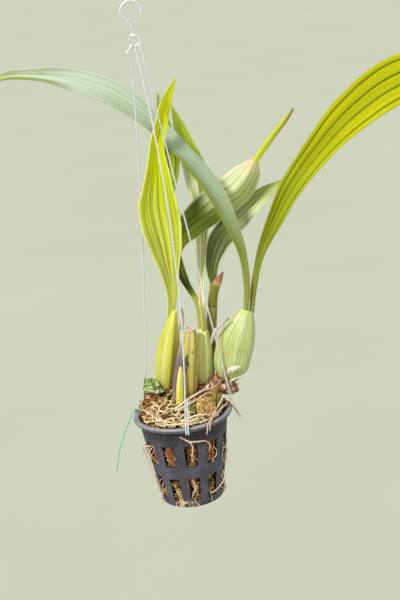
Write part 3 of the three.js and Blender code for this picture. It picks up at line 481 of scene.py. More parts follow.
def tube(line, sides, reach_at):
    """A closed round shape along a line, with both ends drawn in to a point.
    reach_at takes the angle and the share along it."""
    frames = frames_along(line)
    steps = len(frames) - 1

    def place(across, along):
        at, _, side, over = frames[min(steps, max(0, round(along * (steps + 2)) - 1))]
        share = min(1.0, max(0.0, (along * (steps + 2) - 1) / steps))
        if along < 0.001 or along > 0.999:
            return at.copy()
        angle = FULL_TURN * across
        return round_line(at, side, over, angle, reach_at(angle, share))

    return draped_grid(sides, steps + 2, place, closed=True)


def strands(name, lines, finish, slot, nodes=(), sides=1):
    """Round wires, roots or threads, each a smooth line with a radius at every point."""
    curve = bpy.data.curves.new(name, "CURVE")
    curve.dimensions = "3D"
    curve.bevel_depth = MM
    curve.bevel_resolution = sides
    curve.use_fill_caps = True
    for points, radii in lines:
        spline = curve.splines.new("POLY")
        spline.points.add(len(points) - 1)
        for knot, at, radius in zip(spline.points, points, radii):
            knot.co = (*(at * MM), 1)
            knot.radius = radius
        spline.use_smooth = True
    return show(name, curve, [finish], slot, nodes)


def tapered(line, radius, end=1.0):
    """A line and its radii, which go evenly to a share of the radius at its end."""
    last = len(line) - 1
    return line, [radius * mix(1, end, i / last) for i in range(last + 1)]


def spindled(line, radius, thinning, power=1):
    """A line and its radii, thickest at its middle."""
    last = len(line) - 1
    return line, [radius * (1 - thinning * abs(2 * i / last - 1) ** power) for i in range(last + 1)]


def crowd(name, form, spots, finish, slot, nodes=()):
    """Many small pieces of one form, each at a matrix with its own tone."""
    shape = bmesh.new()
    tone = shape.verts.layers.float.new("tone")
    for matrix, level in spots:
        start = len(shape.verts)
        shape.from_mesh(form)
        shape.verts.ensure_lookup_table()
        for corner in shape.verts[start:]:
            corner.co = matrix @ corner.co * MM
            corner[tone] = level
    return show(name, shape, [finish], slot, nodes)


def turned(at, size, draw, lean):
    """A matrix that sets a form of a given size at a point, turned and leant at random."""
    turn = Matrix.Rotation(draw.uniform(0, FULL_TURN), 4, "Z")
    tip = Matrix.Rotation(draw.gauss(0, lean), 4, "X") @ Matrix.Rotation(draw.gauss(0, lean), 4, "Y")
    return Matrix.Translation(at) @ turn @ tip @ Matrix.Diagonal((*size, 1))


def chip_form():
    """A broken chip: a block with its corners knocked off."""
    shape = bmesh.new()
    bmesh.ops.create_cube(shape, size=1.0)
    bmesh.ops.bevel(shape, geom=shape.edges[:], offset=0.17, segments=1, profile=0.5,
                    affect="EDGES", material=-1)
    draw = random.Random(4)
    for corner in shape.verts:
        corner.co *= draw.uniform(0.82, 1.12)
    return as_mesh("chip_form", shape)


def thin_form(name, columns, rows, place):
    """A small thin sheet, bent as place(across, along) says, across from -0.5 to 0.5."""
    shape = bmesh.new()
    bmesh.ops.create_grid(shape, x_segments=columns, y_segments=rows, size=0.5)
    for corner in shape.verts:
        corner.co = place(corner.co.x, corner.co.y + 0.5)
    bmesh.ops.solidify(shape, geom=shape.faces[:], thickness=0.03)
    bmesh.ops.recalc_face_normals(shape, faces=shape.faces)
    return as_mesh(name, shape)


def leaflet_form(fullness):
    """A small leaf, a flat drop folded along its middle."""
    def place(across, along):
        width = fullness * math.sin(math.pi * min(1, 0.08 + 0.92 * along) ** 0.8)
        return Vector((across * width, -0.25 * abs(across) * width, along))
    return thin_form("leaflet_form", 2, 4, place)


def scale_form():
    """A papery scale: a pointed sheet, hollow below, as wide as it is long."""
    def place(across, along):
        across *= math.sqrt(max(0.0, 1 - along ** 2.2)) + 0.04
        return Vector((across, along, 0.34 * math.cos(2.6 * across) - 0.34 + 0.16 * along ** 3))
    return thin_form("scale_form", 6, 6, place)


# The pot. Its wall is one sheet spun round the axis, with the slots taken out

POT_COLUMNS, SLOTS_AROUND = 88, 11
SLOT_COLUMNS = POT_COLUMNS // SLOTS_AROUND // 2
FIRST_SLOT, SLOT_DEGREES = -84.2, 18.4
SLOT_ROWS = ((8.0, 33.5), (47.0, 71.0))
DRAIN_RING, DRAIN_PERIOD, DRAIN_COLUMNS = (12, 25), 11, (4, 5, 6)
FLOOR_TOP, POT_WALL, POT_EDGE, POT_EDGE_ANGLE = 1.5, 1.5, 0.35, math.radians(38)
FOOT_INSIDE, FOOT_OUTSIDE, LIP_OUTSIDE, LIP_UNDER = 29.3, 31.2, 44.8, 87.8
RIM_TOP, RIM_RADIUS = 92, 50
# The inner face of the pot, from the floor up over the rim: radius and height
POT_OUTLINE = [
    (12, 1.5), (25, 1.5), (29.2, 1.5), (29.8, 1.8), (30.1, 2.6), (30.94, 8), (32.9, 20.7), (34.89, 33.5),
    (36.98, 47), (38.84, 59), (40.7, 71), (41.94, 79), (43.16, 86.9), (43.4, 89), (43.9, 90.9),
    (44.9, 91.8), (46.2, 91.95), (48.9, 91.95), (49.7, 91.5), (49.9, 90.6), (49.8, 89.9), (49.1, 89.6),
    (48.9, 88.4), (48.4, 87.9),
]


def pot_inside(height):
    return FOOT_INSIDE + (LIP_OUTSIDE - FOOT_OUTSIDE) / LIP_UNDER * height


def slot_middle(number):
    """The direction of a slot's middle, in degrees."""
    return FIRST_SLOT + 360 / SLOTS_AROUND * number


def every_slot():
    """Each slot's row, its number round the pot, its foot and its top."""
    for row, (low, high) in enumerate(SLOT_ROWS):
        for number in range(SLOTS_AROUND):
            yield row, number, low, high


def wall_point(degrees, out, height):
    """A point that lies out from the outside of the pot's wall."""
    reach = pot_inside(height) + FOOT_OUTSIDE - FOOT_INSIDE + out
    return polar(reach, math.radians(degrees), height)


def is_opening(face):
    """Whether a face of the spun wall lies in a slot or in a drain slot of the floor."""
    middle = face.calc_center_median()
    column = int(math.degrees(math.atan2(middle.y, middle.x)) % 360 / 360 * POT_COLUMNS)
    height, reach = middle.z / MM, middle.to_2d().length / MM
    if any(low < height < high for low, high in SLOT_ROWS):
        return column % (2 * SLOT_COLUMNS) < SLOT_COLUMNS
    in_ring = height < FLOOR_TOP + 0.1 and DRAIN_RING[0] < reach < DRAIN_RING[1]
    return in_ring and column % DRAIN_PERIOD in DRAIN_COLUMNS


def set_slot_widths(shape):
    """Turns each column of corners, so that slots and bars get their own widths."""
    for corner in shape.verts:
        reach = corner.co.to_2d().length
        if reach < 1e-6:
            continue
        share = (math.atan2(corner.co.y, corner.co.x) % FULL_TURN) / FULL_TURN
        turn, step = divmod(round(share * POT_COLUMNS), 2 * SLOT_COLUMNS)
        degrees = SLOT_DEGREES * (step / SLOT_COLUMNS - 0.5)
        if step > SLOT_COLUMNS:
            bar = 360 / SLOTS_AROUND - SLOT_DEGREES
            degrees = SLOT_DEGREES / 2 + bar * (step - SLOT_COLUMNS) / SLOT_COLUMNS
        corner.co = polar(reach, math.radians(slot_middle(turn) + degrees), corner.co.z)


def pot_shell(finish):
    shape = bmesh.new()
    corners = [shape.verts.new((reach * MM, 0, height * MM)) for reach, height in POT_OUTLINE]
    edges = [shape.edges.new(pair) for pair in zip(corners, corners[1:])]
    bmesh.ops.spin(shape, geom=corners + edges, cent=(0, 0, 0), axis=(0, 0, 1), dvec=(0, 0, 0),
                   angle=FULL_TURN, steps=POT_COLUMNS, use_merge=True)
    middle = [edge for edge in shape.edges if edge.is_boundary
              and all(corner.co.to_2d().length < (DRAIN_RING[0] + 1) * MM for corner in edge.verts)]
    bmesh.ops.edgeloop_fill(shape, edges=middle)
    bmesh.ops.recalc_face_normals(shape, faces=shape.faces)
    bmesh.ops.delete(shape, geom=[face for face in shape.faces if is_opening(face)], context="FACES")
    set_slot_widths(shape)
    shape.normal_update()
    bar = next(face for face in shape.faces
               if SLOT_ROWS[0][1] * MM < face.calc_center_median().z < SLOT_ROWS[1][0] * MM)
    if bar.normal.dot(bar.calc_center_median()) > 0:
        bmesh.ops.reverse_faces(shape, faces=shape.faces)
    piece = show("pot_shell", shape, [finish], "pot_plastic", ["net_pot"])
    thicken(piece, POT_WALL, offset=-1)
    soft = piece.modifiers.new("soft_edges", "BEVEL")
    soft.width, soft.segments = POT_EDGE * MM, 2
    soft.limit_method, soft.angle_limit = "ANGLE", POT_EDGE_ANGLE


# The filling: a rough core, and on it and behind the slots what shows one by one

FILL_LEVEL, HEAP_RISE, FILL_REACH = 91, 18, 41.5
CORE_FOOT, CORE_FLARE, CORE_BRIM = 3, 76, 88
CORE_REACH, CORE_EDGE = 24, 40.5
# The shares of the core's sheet that make its floor, its side and its edge at the rim
FLOOR_SHARE, SIDE_SHARE, EDGE_SHARE = 0.08, 0.42, 0.52


def on_disc(draw, radius):
    """A place drawn evenly from a disc."""
    reach, angle = radius * math.sqrt(draw.random()), draw.uniform(0, FULL_TURN)
    return reach * math.cos(angle), reach * math.sin(angle)


def behind_wall(deep, angle, height):
    """A point that lies deep inside the inner face of the pot."""
    return polar(pot_inside(height) - deep, angle, height)


def near_husk(x, y):
    return x > 12 and y > -24


def heap_share(y):
    """The filling rises in a heap towards the back."""
    return smooth_step((y + 31.5) / 56.7)


def mound_height(x, y):
    lumps = math.sin(x * 0.55 + 1.2) * math.cos(y * 0.6) + 0.6 * math.sin(x * 0.23 - y * 0.4)
    flat_edge = smooth_step((42 - math.hypot(x, y)) / 8)
    return FILL_LEVEL + HEAP_RISE * heap_share(y) + 1.1 * lumps * flat_edge


def on_mound(x, y, lift):
    return Vector((x, y, mound_height(x, y) + lift))


def medium_core(finish):
    def place(across, along):
        angle = FULL_TURN * across
        if along < FLOOR_SHARE:
            reach, height = CORE_REACH * along / FLOOR_SHARE, CORE_FOOT
        elif along < SIDE_SHARE:
            height = mix(CORE_FOOT, CORE_BRIM, (along - FLOOR_SHARE) / (SIDE_SHARE - FLOOR_SHARE))
            reach = pot_inside(height) - 2.8 + 0.9 * noise.noise(polar(9, angle, along * 22))
            reach += 1.8 * max(0.0, height - CORE_FLARE) / (CORE_BRIM - CORE_FLARE)
        elif along < EDGE_SHARE:
            rise = (along - SIDE_SHARE) / (EDGE_SHARE - SIDE_SHARE)
            heap = heap_share(42 * math.sin(angle))
            reach = mix(pot_inside(CORE_BRIM) - 0.3, CORE_EDGE, rise) + heap * math.sin(math.pi * rise)
            height = mix(CORE_BRIM, 91.2 + 15 * heap, rise)
        else:
            reach = CORE_EDGE * (1 - (along - EDGE_SHARE) / (1 - EDGE_SHARE))
            x, y, _ = polar(reach, angle, 0)
            height = mound_height(x, y) - 0.9 + 1.4 * noise.noise(Vector((x * 0.35, y * 0.35, 3)))
            height += 0.7 * noise.noise(Vector((x * 0.9, y * 0.9, 7)))
            height -= 1.7 * smooth_step((-4 - y) / 8) * smooth_step((40 - reach) / 4)
        return polar(reach, angle, height)

    shape = draped_grid(120, 120, place, closed=True)
    show("medium_core", shape, [finish], "medium_fibre", ["growing_medium"])


def bark_chips(form, finish):
    """Chips over the filling, few of them where roots cover the front."""
    draw = random.Random(21)
    spots = []
    for _ in range(380):
        x, y = on_disc(draw, 41)
        if y < -4 and x > -30 and draw.random() < 0.85:
            continue
        long = draw.uniform(3, 7.5)
        size = (long, long * draw.uniform(0.4, 0.75), draw.uniform(1.2, 2.6))
        level = draw.uniform(0.25, 0.95) if x < -20 else draw.random()
        spots.append((turned(on_mound(x, y, 0.2), size, draw, 0.4), level))
    crowd("bark_chips", form, spots, finish, "medium_fibre")


WALL_LEAN = 0.154
STRINGY_SLOTS = (1, 9)


def slot_chips(form, finish):
    """Bark behind each slot, set towards its right: upright in the upper row, loose in the lower."""
    draw = random.Random(33)
    spots = []
    for row, number, low, high in every_slot():
        stringy = row and number in STRINGY_SLOTS
        first, pitch, count = (-6.5, 1.5, 10) if stringy else (-3.4, 4.1, 4)
        for part in range(count):
            angle = math.radians(slot_middle(number) + (first + pitch * part) + draw.uniform(-1, 1))
            if row:
                tall, share, deep, lean = (draw.uniform(1.1, 1.35), 0.5, draw.uniform(0.9, 2.2),
                                           draw.uniform(-0.1, 0.1))
            else:
                tall, share, deep, lean = (draw.uniform(0.3, 0.7), draw.uniform(0.2, 0.85),
                                           draw.uniform(1.4, 3.6), draw.uniform(-0.9, 0.9))
            wide = draw.uniform(0.8, 1.5) if stringy else draw.uniform(2.6, 4.4)
            height = mix(low, high, share)
            matrix = (Matrix.Translation(behind_wall(deep, angle, height))
                      @ Matrix.Rotation(angle, 4, "Z") @ Matrix.Rotation(lean, 4, "X")
                      @ Matrix.Rotation(WALL_LEAN, 4, "Y")
                      @ Matrix.Diagonal((1 if stringy else 2, wide, (high - low) * tall, 1)))
            darkest, palest = (0.75, 1) if stringy else (0.25, 0.85) if row else (0, 1)
            spots.append((matrix, draw.uniform(darkest, palest)))
    crowd("slot_chips", form, spots, finish, "medium_fibre")


HUSK_FOOT, HUSK_WIDTH, HUSK_DEPTH, HUSK_HEIGHT = Vector((24, -13, 90)), 17, 15, 12.5


def husk_point(aside, deep, height):
    """A point of the block, aside and deep as shares of half its width and depth."""
    return HUSK_FOOT + Vector((HUSK_WIDTH / 2 * aside, HUSK_DEPTH / 2 * deep, height))


def squared(cosine, sine):
    return 1 / max(abs(cosine), abs(sine)) ** 0.75


def husk_block(finish):
    """The block of husk fibre at the front right."""
    def place(across, along):
        angle = FULL_TURN * across
        cosine, sine = math.cos(angle), math.sin(angle)
        comb = 1 + 0.09 * math.sin(angle * 19 + 2 * math.sin(angle * 3)) + 0.08 * noise.noise(
            Vector((angle * 5, along * 2, 1)))
        rise = min(1.0, along / 0.7)
        spread = (1.0 if along < 0.7 else (1 - along) / 0.3) * (0.86 + 0.1 * rise)
        spread *= comb * squared(cosine, sine)
        ragged = 1.3 * noise.noise(Vector((cosine * 6 * spread, sine * 6 * spread, 4))) * rise
        height = (HUSK_HEIGHT - 1.2) * rise + 2.0 * ragged + 3.2 * rise * (sine * spread)
        lean = Vector((0, 2.6 * (1 - rise), 0))
        return husk_point(cosine * spread * 0.9, sine * spread * 0.9, height) - lean

    shape = draped_grid(140, 30, place, closed=True)
    tone = shape.verts.layers.float.new("tone")
    for corner in shape.verts:
        corner[tone] = 0.25 + 0.45 * noise.noise(corner.co * 420)
    show("husk_block", shape, [finish], "medium_fibre")


def husk_strands(finish):
    """Coarse strands combed up the faces of the husk block and over its top."""
    draw = random.Random(52)
    lines = []
    for _ in range(120):
        angle = draw.uniform(0, FULL_TURN)
        cosine, sine = math.cos(angle), math.sin(angle)
        reach = squared(cosine, sine) * draw.uniform(0.96, 1.08)
        inward = draw.uniform(-0.5, 0.6)
        top = HUSK_HEIGHT + 3 * sine + draw.uniform(-2.5, 1.6)
        bend = draw.uniform(-1.2, 1.2)
        points = [husk_point(cosine * reach * share, sine * reach * share, height) + Vector((aside, -back, 0))
                  for share, height, aside, back in (
                      (0.9, 0.5, 0, 2.4), (0.95, top * 0.5, bend, 1.2), (0.96, top * 0.95, 0, 0.2),
                      (inward, top + 0.9, 0, 0))]
        lines.append(tapered(smooth_line(points, 14), draw.uniform(0.25, 0.58)))
    strands("husk_strands", lines, finish, "medium_fibre")


def surface_thread(draw, x, y, heading, length, lift, sway):
    """A thread that wanders over the mound."""
    points = []
    count = 7
    for _ in range(count):
        reach = math.hypot(x, y)
        if reach > FILL_REACH:
            x, y = x * FILL_REACH / reach, y * FILL_REACH / reach
        points.append(on_mound(x, y, lift + draw.uniform(-0.5, 0.7)))
        heading += draw.gauss(0, sway)
        x += length / count * math.cos(heading)
        y += length / count * math.sin(heading)
    return smooth_line(points, 18)


ROOT_PITCH = 7.6


def root_net(finish):
    """Thin roots that loop over the front of the filling and leave dark pits between them."""
    draw = random.Random(8)
    lines = []
    for row in range(-7, 1):
        for column in range(-6, 6):
            x = (column + 0.5 * (row % 2) + draw.uniform(-0.25, 0.25)) * ROOT_PITCH
            y = row * ROOT_PITCH * 0.84 + draw.uniform(-1.3, 1.3)
            if math.hypot(x, y) > 39 or near_husk(x, y):
                continue
            start, turns = draw.uniform(0, FULL_TURN), draw.uniform(0.6, 1.0)
            reach = ROOT_PITCH * draw.uniform(0.42, 0.58)
            points = []
            for step in range(8):
                angle = start + FULL_TURN * turns * step / 7
                swing = reach * draw.uniform(0.85, 1.2)
                lift = 0.6 + 1.1 * math.sin(math.pi * step / 7) + draw.uniform(-0.4, 0.5)
                points.append(on_mound(x + swing * math.cos(angle), y + 0.95 * swing * math.sin(angle), lift))
            lines.append(spindled(smooth_line(points, 24), draw.uniform(0.45, 0.84), 0.35))
    for _ in range(46):
        x = draw.uniform(-40, 34)
        y = -math.sqrt(max(0, 41 ** 2 - x * x)) * draw.uniform(0.15, 1.0)
        if near_husk(x, y):
            continue
        line = surface_thread(draw, x, y, draw.uniform(0, FULL_TURN), draw.uniform(9, 22), 1.2, 0.45)
        lines.append(spindled(line, draw.uniform(0.3, 0.6), 0.4))
    strands("root_net", lines, finish, "root_cream")


def olive_strands(finish):
    """Green strands that sweep forward between the bulbs and the husk block."""
    draw = random.Random(63)
    lines = []
    for _ in range(34):
        x, y = draw.uniform(0, 13), draw.uniform(-8, 10)
        if draw.random() < 0.35:
            x, y = draw.uniform(28, 40), draw.uniform(-4, 14)
        heading = math.radians(draw.uniform(-125, -50))
        line = surface_thread(draw, x, y, heading, draw.uniform(11, 21), 1.5, 0.22)
        lines.append(spindled(line, draw.uniform(0.3, 0.6), 0.5))
    strands("olive_strands", lines, finish, "medium_fibre")


# Which way the slots with roots lie, in degrees, and how many roots come out there
SIDE_SLOTS = ((-149.7, 9), (177.6, 6), (-18.7, 7), (14.0, 6), (-51.5, 2), (46.7, 3), (144.9, 3))


def slot_roots(finish):
    """Thin roots that come out of the slots at the pot's sides, and out below its floor at the front."""
    draw = random.Random(44)
    lines = []
    for centre, count in SIDE_SLOTS:
        for number in range(count):
            low, high = SLOT_ROWS[number % 2]
            degrees, height = centre + draw.uniform(-7, 7), mix(low, high, draw.uniform(0.35, 0.9))
            points = [wall_point(degrees, -3, height)]
            for _ in range(4):
                degrees += draw.uniform(-5, 5)
                height = max(1.5, height - draw.uniform(1, 7))
                points.append(wall_point(degrees, draw.uniform(0.5, 2.4), height))
            points.append(wall_point(degrees, -0.3 if draw.random() < 0.6 else 3.0, max(1.2, height - 3)))
            lines.append(tapered(smooth_line(points, 24), draw.uniform(0.3, 0.7), 0.5))
    for _ in range(12):
        degrees, height = -106 + draw.gauss(0, 7), draw.uniform(8, 11)
        points = [wall_point(degrees, -2.5, height), wall_point(degrees, 0.6, height - 2)]
        for _ in range(3):
            degrees += draw.uniform(-6, 6)
            height = max(0.8, height - draw.uniform(1.5, 4))
            points.append(wall_point(degrees, draw.uniform(0.4, 1.8), height))
        lines.append(tapered(smooth_line(points, 20), draw.uniform(0.25, 0.6)))
    strands("slot_roots", lines, finish, "root_cream")


def husk_fibres(finish):
    """Loose fibres over the whole filling, and some that fill the slots."""
    draw = random.Random(15)
    lines = []
    for _ in range(150):
        x, y = on_disc(draw, 40)
        line = surface_thread(draw, x, y, draw.uniform(0, FULL_TURN), draw.uniform(6, 18), 1.2, 0.35)
        lines.append(tapered(line, draw.uniform(0.12, 0.22)))
    for row, slot, low, high in every_slot():
        for number in range(9 if row else 13):
            degrees = slot_middle(slot) + draw.uniform(-8, 8)
            height = mix(low, high, draw.random() ** (2.4 if row else 1.2))
            points = []
            for step in range(5):
                angle = math.radians(degrees + draw.uniform(-3, 3))
                points.append(behind_wall(1.3 - math.sin(math.pi * step / 4), angle, height))
                height = min(high - 0.5, max(low + 0.4, height + draw.uniform(-3.5, 3.5)))
                degrees += draw.uniform(-4, 4)
            thick = draw.uniform(0.4, 0.62) if number < 3 else draw.uniform(0.18, 0.36)
            lines.append(tapered(smooth_line(points, 14), thick))
    strands("husk_fibres", lines, finish, "medium_fibre")


# Patches of moss on the filling: x, y, spread, how many sprigs, and their darkest and palest tone
MOSS_PATCHES = [
    (-12, -7, 9, 150, 0.5, 1.0), (8, -12, 7, 110, 0.3, 0.9), (-29, 20, 7, 110, 0.0, 0.4),
    (38, -12, 6, 70, 0.2, 0.8), (-13, 6, 6, 120, 0.0, 0.5), (30, 22, 9, 110, 0.1, 0.7),
    (-20, 34, 8, 110, 0.0, 0.5), (14, -33, 7, 60, 0.5, 1.0), (-28, -14, 8, 70, 0.5, 1.0),
    (20, 10, 7, 60, 0.1, 0.6), (38, 4, 8, 160, 0.1, 0.8), (33, -22, 5, 60, 0.4, 1.0),
    (-19, 11, 7, 130, 0.0, 0.6),
]


def moss(form, finish):
    """Sprigs in patches on the filling and along the foot of each slot."""
    draw = random.Random(5)
    spots = []
    for patch_x, patch_y, spread, count, darkest, palest in MOSS_PATCHES:
        for _ in range(count):
            x, y = draw.gauss(patch_x, spread * 0.45), draw.gauss(patch_y, spread * 0.45)
            if math.hypot(x, y) > FILL_REACH:
                continue
            size = draw.uniform(1.2, 2.6)
            matrix = turned(on_mound(x, y, 0.2), [size] * 3, draw, 0.6)
            spots.append((matrix, draw.uniform(darkest, palest)))
    for _, slot, low, _ in every_slot():
        for _ in range(26):
            angle = math.radians(slot_middle(slot) + draw.uniform(-8.8, 8.8))
            height = low + 0.2 + abs(draw.gauss(0, 2.0))
            at = behind_wall(draw.uniform(-0.5, 1.8), angle, height)
            size = draw.uniform(1.3, 2.6)
            spots.append((turned(at, [size] * 3, draw, 0.9), draw.uniform(0.6, 1.0)))
    crowd("moss", form, spots, finish, "weed_green")


def weed(name, node, seed, form, finish, *clumps):
    """Rosettes of small leaves: where each is, its size, the length of a leaf and how many leaves."""
    draw = random.Random(seed)
    spots = []
    for at, size, leaf, count in clumps:
        for k in range(count):
            around = FULL_TURN * k / count + draw.uniform(-0.4, 0.4)
            lift = draw.uniform(0.0, 0.8)
            reach = size * draw.uniform(0.15, 0.7)
            outward = polar(math.cos(lift), around, math.sin(lift))
            rise = outward.z * reach * 0.6 - 0.05 * size
            foot = Vector(at) + Vector((outward.x * reach, outward.y * reach, rise))
            turn = outward.to_track_quat("Y", "Z").to_matrix().to_4x4()
            scale = leaf * draw.uniform(0.8, 1.25)
            matrix = (Matrix.Translation(foot) @ turn @ Matrix.Rotation(draw.uniform(-0.4, 0.4), 4, "Y")
                      @ Matrix.Diagonal((1.3 * scale, scale, scale, 1)))
            spots.append((matrix, draw.random()))
    crowd(name, form, spots, finish, "weed_green", [node])


# Bulbs. A ring is a share of the height and a share of the full radius

PLUMP_RINGS = [(0, .3), (.05, .5), (.15, .77), (.3, .97), (.45, 1), (.62, .98), (.77, .85), (.9, .6), (1, .3)]
SLIM_RINGS = [(0, .5), (.06, .74), (.2, .95), (.38, 1), (.56, .97), (.74, .84), (.88, .66), (.96, .5),
              (1, .4)]
POINTED_RINGS = [(0, .3), (.07, .5), (.2, .8), (.38, 1), (.55, .98), (.7, .83), (.84, .57), (.94, .33),
                 (1, .21)]
DOMED_RINGS = [(0, .55), (.08, .8), (.22, .96), (.42, 1), (.62, 1), (.78, .94), (.9, .8), (.96, .62), (1, .5)]
BUD_RINGS = [(0, .85), (.1, 1), (.3, .98), (.5, .88), (.7, .75), (.86, .58), (1, .3)]
BULB_ROWS = 72


def ring_share(rings, height):
    """The share of a bulb's full radius at a share of its height, eased through its rings."""
    here = next(i for i in range(len(rings) - 1) if height <= rings[i + 1][0] or i == len(rings) - 2)
    (low, small), (high, large) = rings[here], rings[here + 1]
    before, after = rings[max(0, here - 1)], rings[min(len(rings) - 1, here + 2)]
    rise, span = (height - low) / (high - low), high - low
    leaving = (large - before[1]) / (high - before[0]) * span
    coming = (after[1] - small) / (after[0] - low) * span
    square = 3 * (large - small) - 2 * leaving - coming
    cube = 2 * (small - large) + leaving + coming
    return small + leaving * rise + square * rise ** 2 + cube * rise ** 3


def bulb(name, node, slot, finish, axis, rings, radius, depth, ribs, rib_height, rib_phase,
         ridges, ridge_height, twist=0.0):
    """A bulb round a bent axis, deeper than wide by its depth, with broad ribs and fine ridges."""
    foot, belly, tip = (Vector(point) for point in axis)
    bend = belly * 2 - foot * 0.5 - tip * 0.5
    heights = [0.5 - 0.5 * math.cos(math.pi * i / BULB_ROWS) for i in range(BULB_ROWS + 1)]
    frames = frames_along([foot * (1 - h) ** 2 + bend * (2 * h * (1 - h)) + tip * h * h for h in heights])

    def place(across, along):
        row = round(along * BULB_ROWS)
        height = heights[row]
        at, _, side, over = frames[row]
        angle = FULL_TURN * across
        swell = 1 + rib_height * math.cos(ribs * angle + rib_phase)
        swell -= 0.35 * rib_height * max(0.0, -math.cos(ribs * angle + rib_phase)) ** 6
        swell += ridge_height * math.cos(ridges * (angle + twist * height))
        swell += 0.02 * noise.noise(polar(1, angle, height * 5) * 2.2)
        closing = min(1.0, math.sqrt(max(0.0, min(height, 1 - height)) / 0.012))
        reach = radius * ring_share(rings, height) * swell * closing
        return round_line(at, side, over, angle, reach, depth)

    show(name, draped_grid(144, BULB_ROWS, place, closed=True), [finish], slot, [node])


def dry_collar(at, way, radius, height, finish):
    """The ragged dry ring that an old leaf leaves round the tip of the old bulb."""
    side = way.orthogonal().normalized()
    over = way.cross(side)

    def place(across, along):
        angle = FULL_TURN * across
        torn = 1 + 0.35 * noise.noise(polar(2.5, angle, 3))
        reach = radius * (1 + 0.16 * along ** 2 + 0.06 * noise.noise(polar(4, angle, along * 2)))
        return round_line(at + way * (height * torn * (along - 0.35)), side, over, angle, reach)

    shape = draped_grid(48, 8, place, closed=True)
    thicken(show("old_tip_collar", shape, [finish], "bulb_old_skin"), 0.5)


# Leaves, sheaths and bracts. A station is a point on the midrib, half the width, the turn of
# the blade away from the front, how far its halves fold forward, in degrees, and a thickness

LEAF_EDGE, LEAF_CREASE = 0.62, 0.18
TO_FRONT = Vector((0, -0.94, 0.34)).normalized()


def blade_rows(stations, rows):
    """For each row of a blade its middle, the ways across and out of it, and its station's measures."""
    spine = [Vector(station[:3]) for station in stations]
    widths = [Vector(station[3:6]) for station in stations]
    bodies = [Vector((station[6], i, 0)) for i, station in enumerate(stations)]
    layout = []
    for share in (i / rows for i in range(rows + 1)):
        along = (on_line(spine, min(1, share + 0.002)) - on_line(spine, max(0, share - 0.002))).normalized()
        half_width, turn, fold = on_line(widths, share)
        facing = (TO_FRONT - along * TO_FRONT.dot(along)).normalized()
        sideways = along.cross(facing)
        cosine, sine = math.cos(math.radians(turn)), math.sin(math.radians(turn))
        layout.append((on_line(spine, share), sideways * cosine - facing * sine,
                       facing * cosine + sideways * sine, half_width, math.radians(fold),
                       on_line(bodies, share)[0]))
    return layout


def blade(name, node, slot, finishes, stations, rows=120, columns=32, folds=4, pleats=0.5, wave=0.5,
          ragged=0.03, seed=1):
    """A blade over its stations, pleated, waved and ragged, and thickest along its midrib."""
    layout = blade_rows(stations, rows)
    thickest = max(row[5] for row in layout)

    def place(across, along):
        at, side, normal, half_width, fold, _ = layout[round(along * rows)]
        u = 2 * across - 1
        right = u > 0
        in_blade = smooth_step((half_width - 3) / 6)
        edge = noise.noise(Vector((along * 16, 5 * right, seed)))
        edge += 0.5 * noise.noise(Vector((along * 45, 5 * right, seed)))
        width = max(0.5, half_width) * (1 + ragged * in_blade * edge * abs(u) ** 3)
        rise = width * (math.sqrt(u * u + LEAF_CREASE ** 2) - LEAF_CREASE) * math.sin(fold)
        pleat = 2 / math.pi * math.asin(0.97 * math.cos(math.pi * folds * u)) * (1 - u * u)
        ripple = math.sin(along * 40 + 1.3 * right) * u * u
        rise += in_blade * (pleats * pleat + wave * ripple)
        return at + side * (width * u * math.cos(fold)) + normal * rise

    shape = draped_grid(columns, rows, place)
    thin = shape.verts.layers.deform.verify()
    sheet = shape.loops.layers.uv["UVMap"]
    for corner in shape.verts:
        across, along = corner.link_loops[0][sheet].uv
        body = layout[round(along * rows)][5]
        thickness = LEAF_EDGE + max(0.0, body - LEAF_EDGE) * (1 - (2 * across - 1) ** 2)
        corner[thin][0] = thickness / thickest
    piece = show(name, shape, finishes, slot, [node])
    piece.vertex_groups.new(name="thickness")
    thicken(piece, thickest, offset=0, vertex_group="thickness", thickness_vertex_group=0.1,
            material_offset=len(finishes) - 1)


# The stem and the rhizome

# Each run of the rhizome: its line, its radius at both ends and how many rings of scales
RHIZOME_RUNS = (
    ([(-16, 25, 99), (-4, 16, 98), (8, 8, 95), (20, 13, 101), (31, 17, 104.5), (42, 18.5, 104.5),
      (50, 19.5, 103.5), (58, 19, 102.5)], 5.2, 6.6, 14),
    ([(22, 15, 100), (25, 26, 101), (30, 38, 102)], 4.8, 4.4, 5),
    ([(33, 18, 104), (37, 18, 112), (41, 18.5, 119)], 6.4, 4.0, 4),
)
SCALES_ROUND = 5


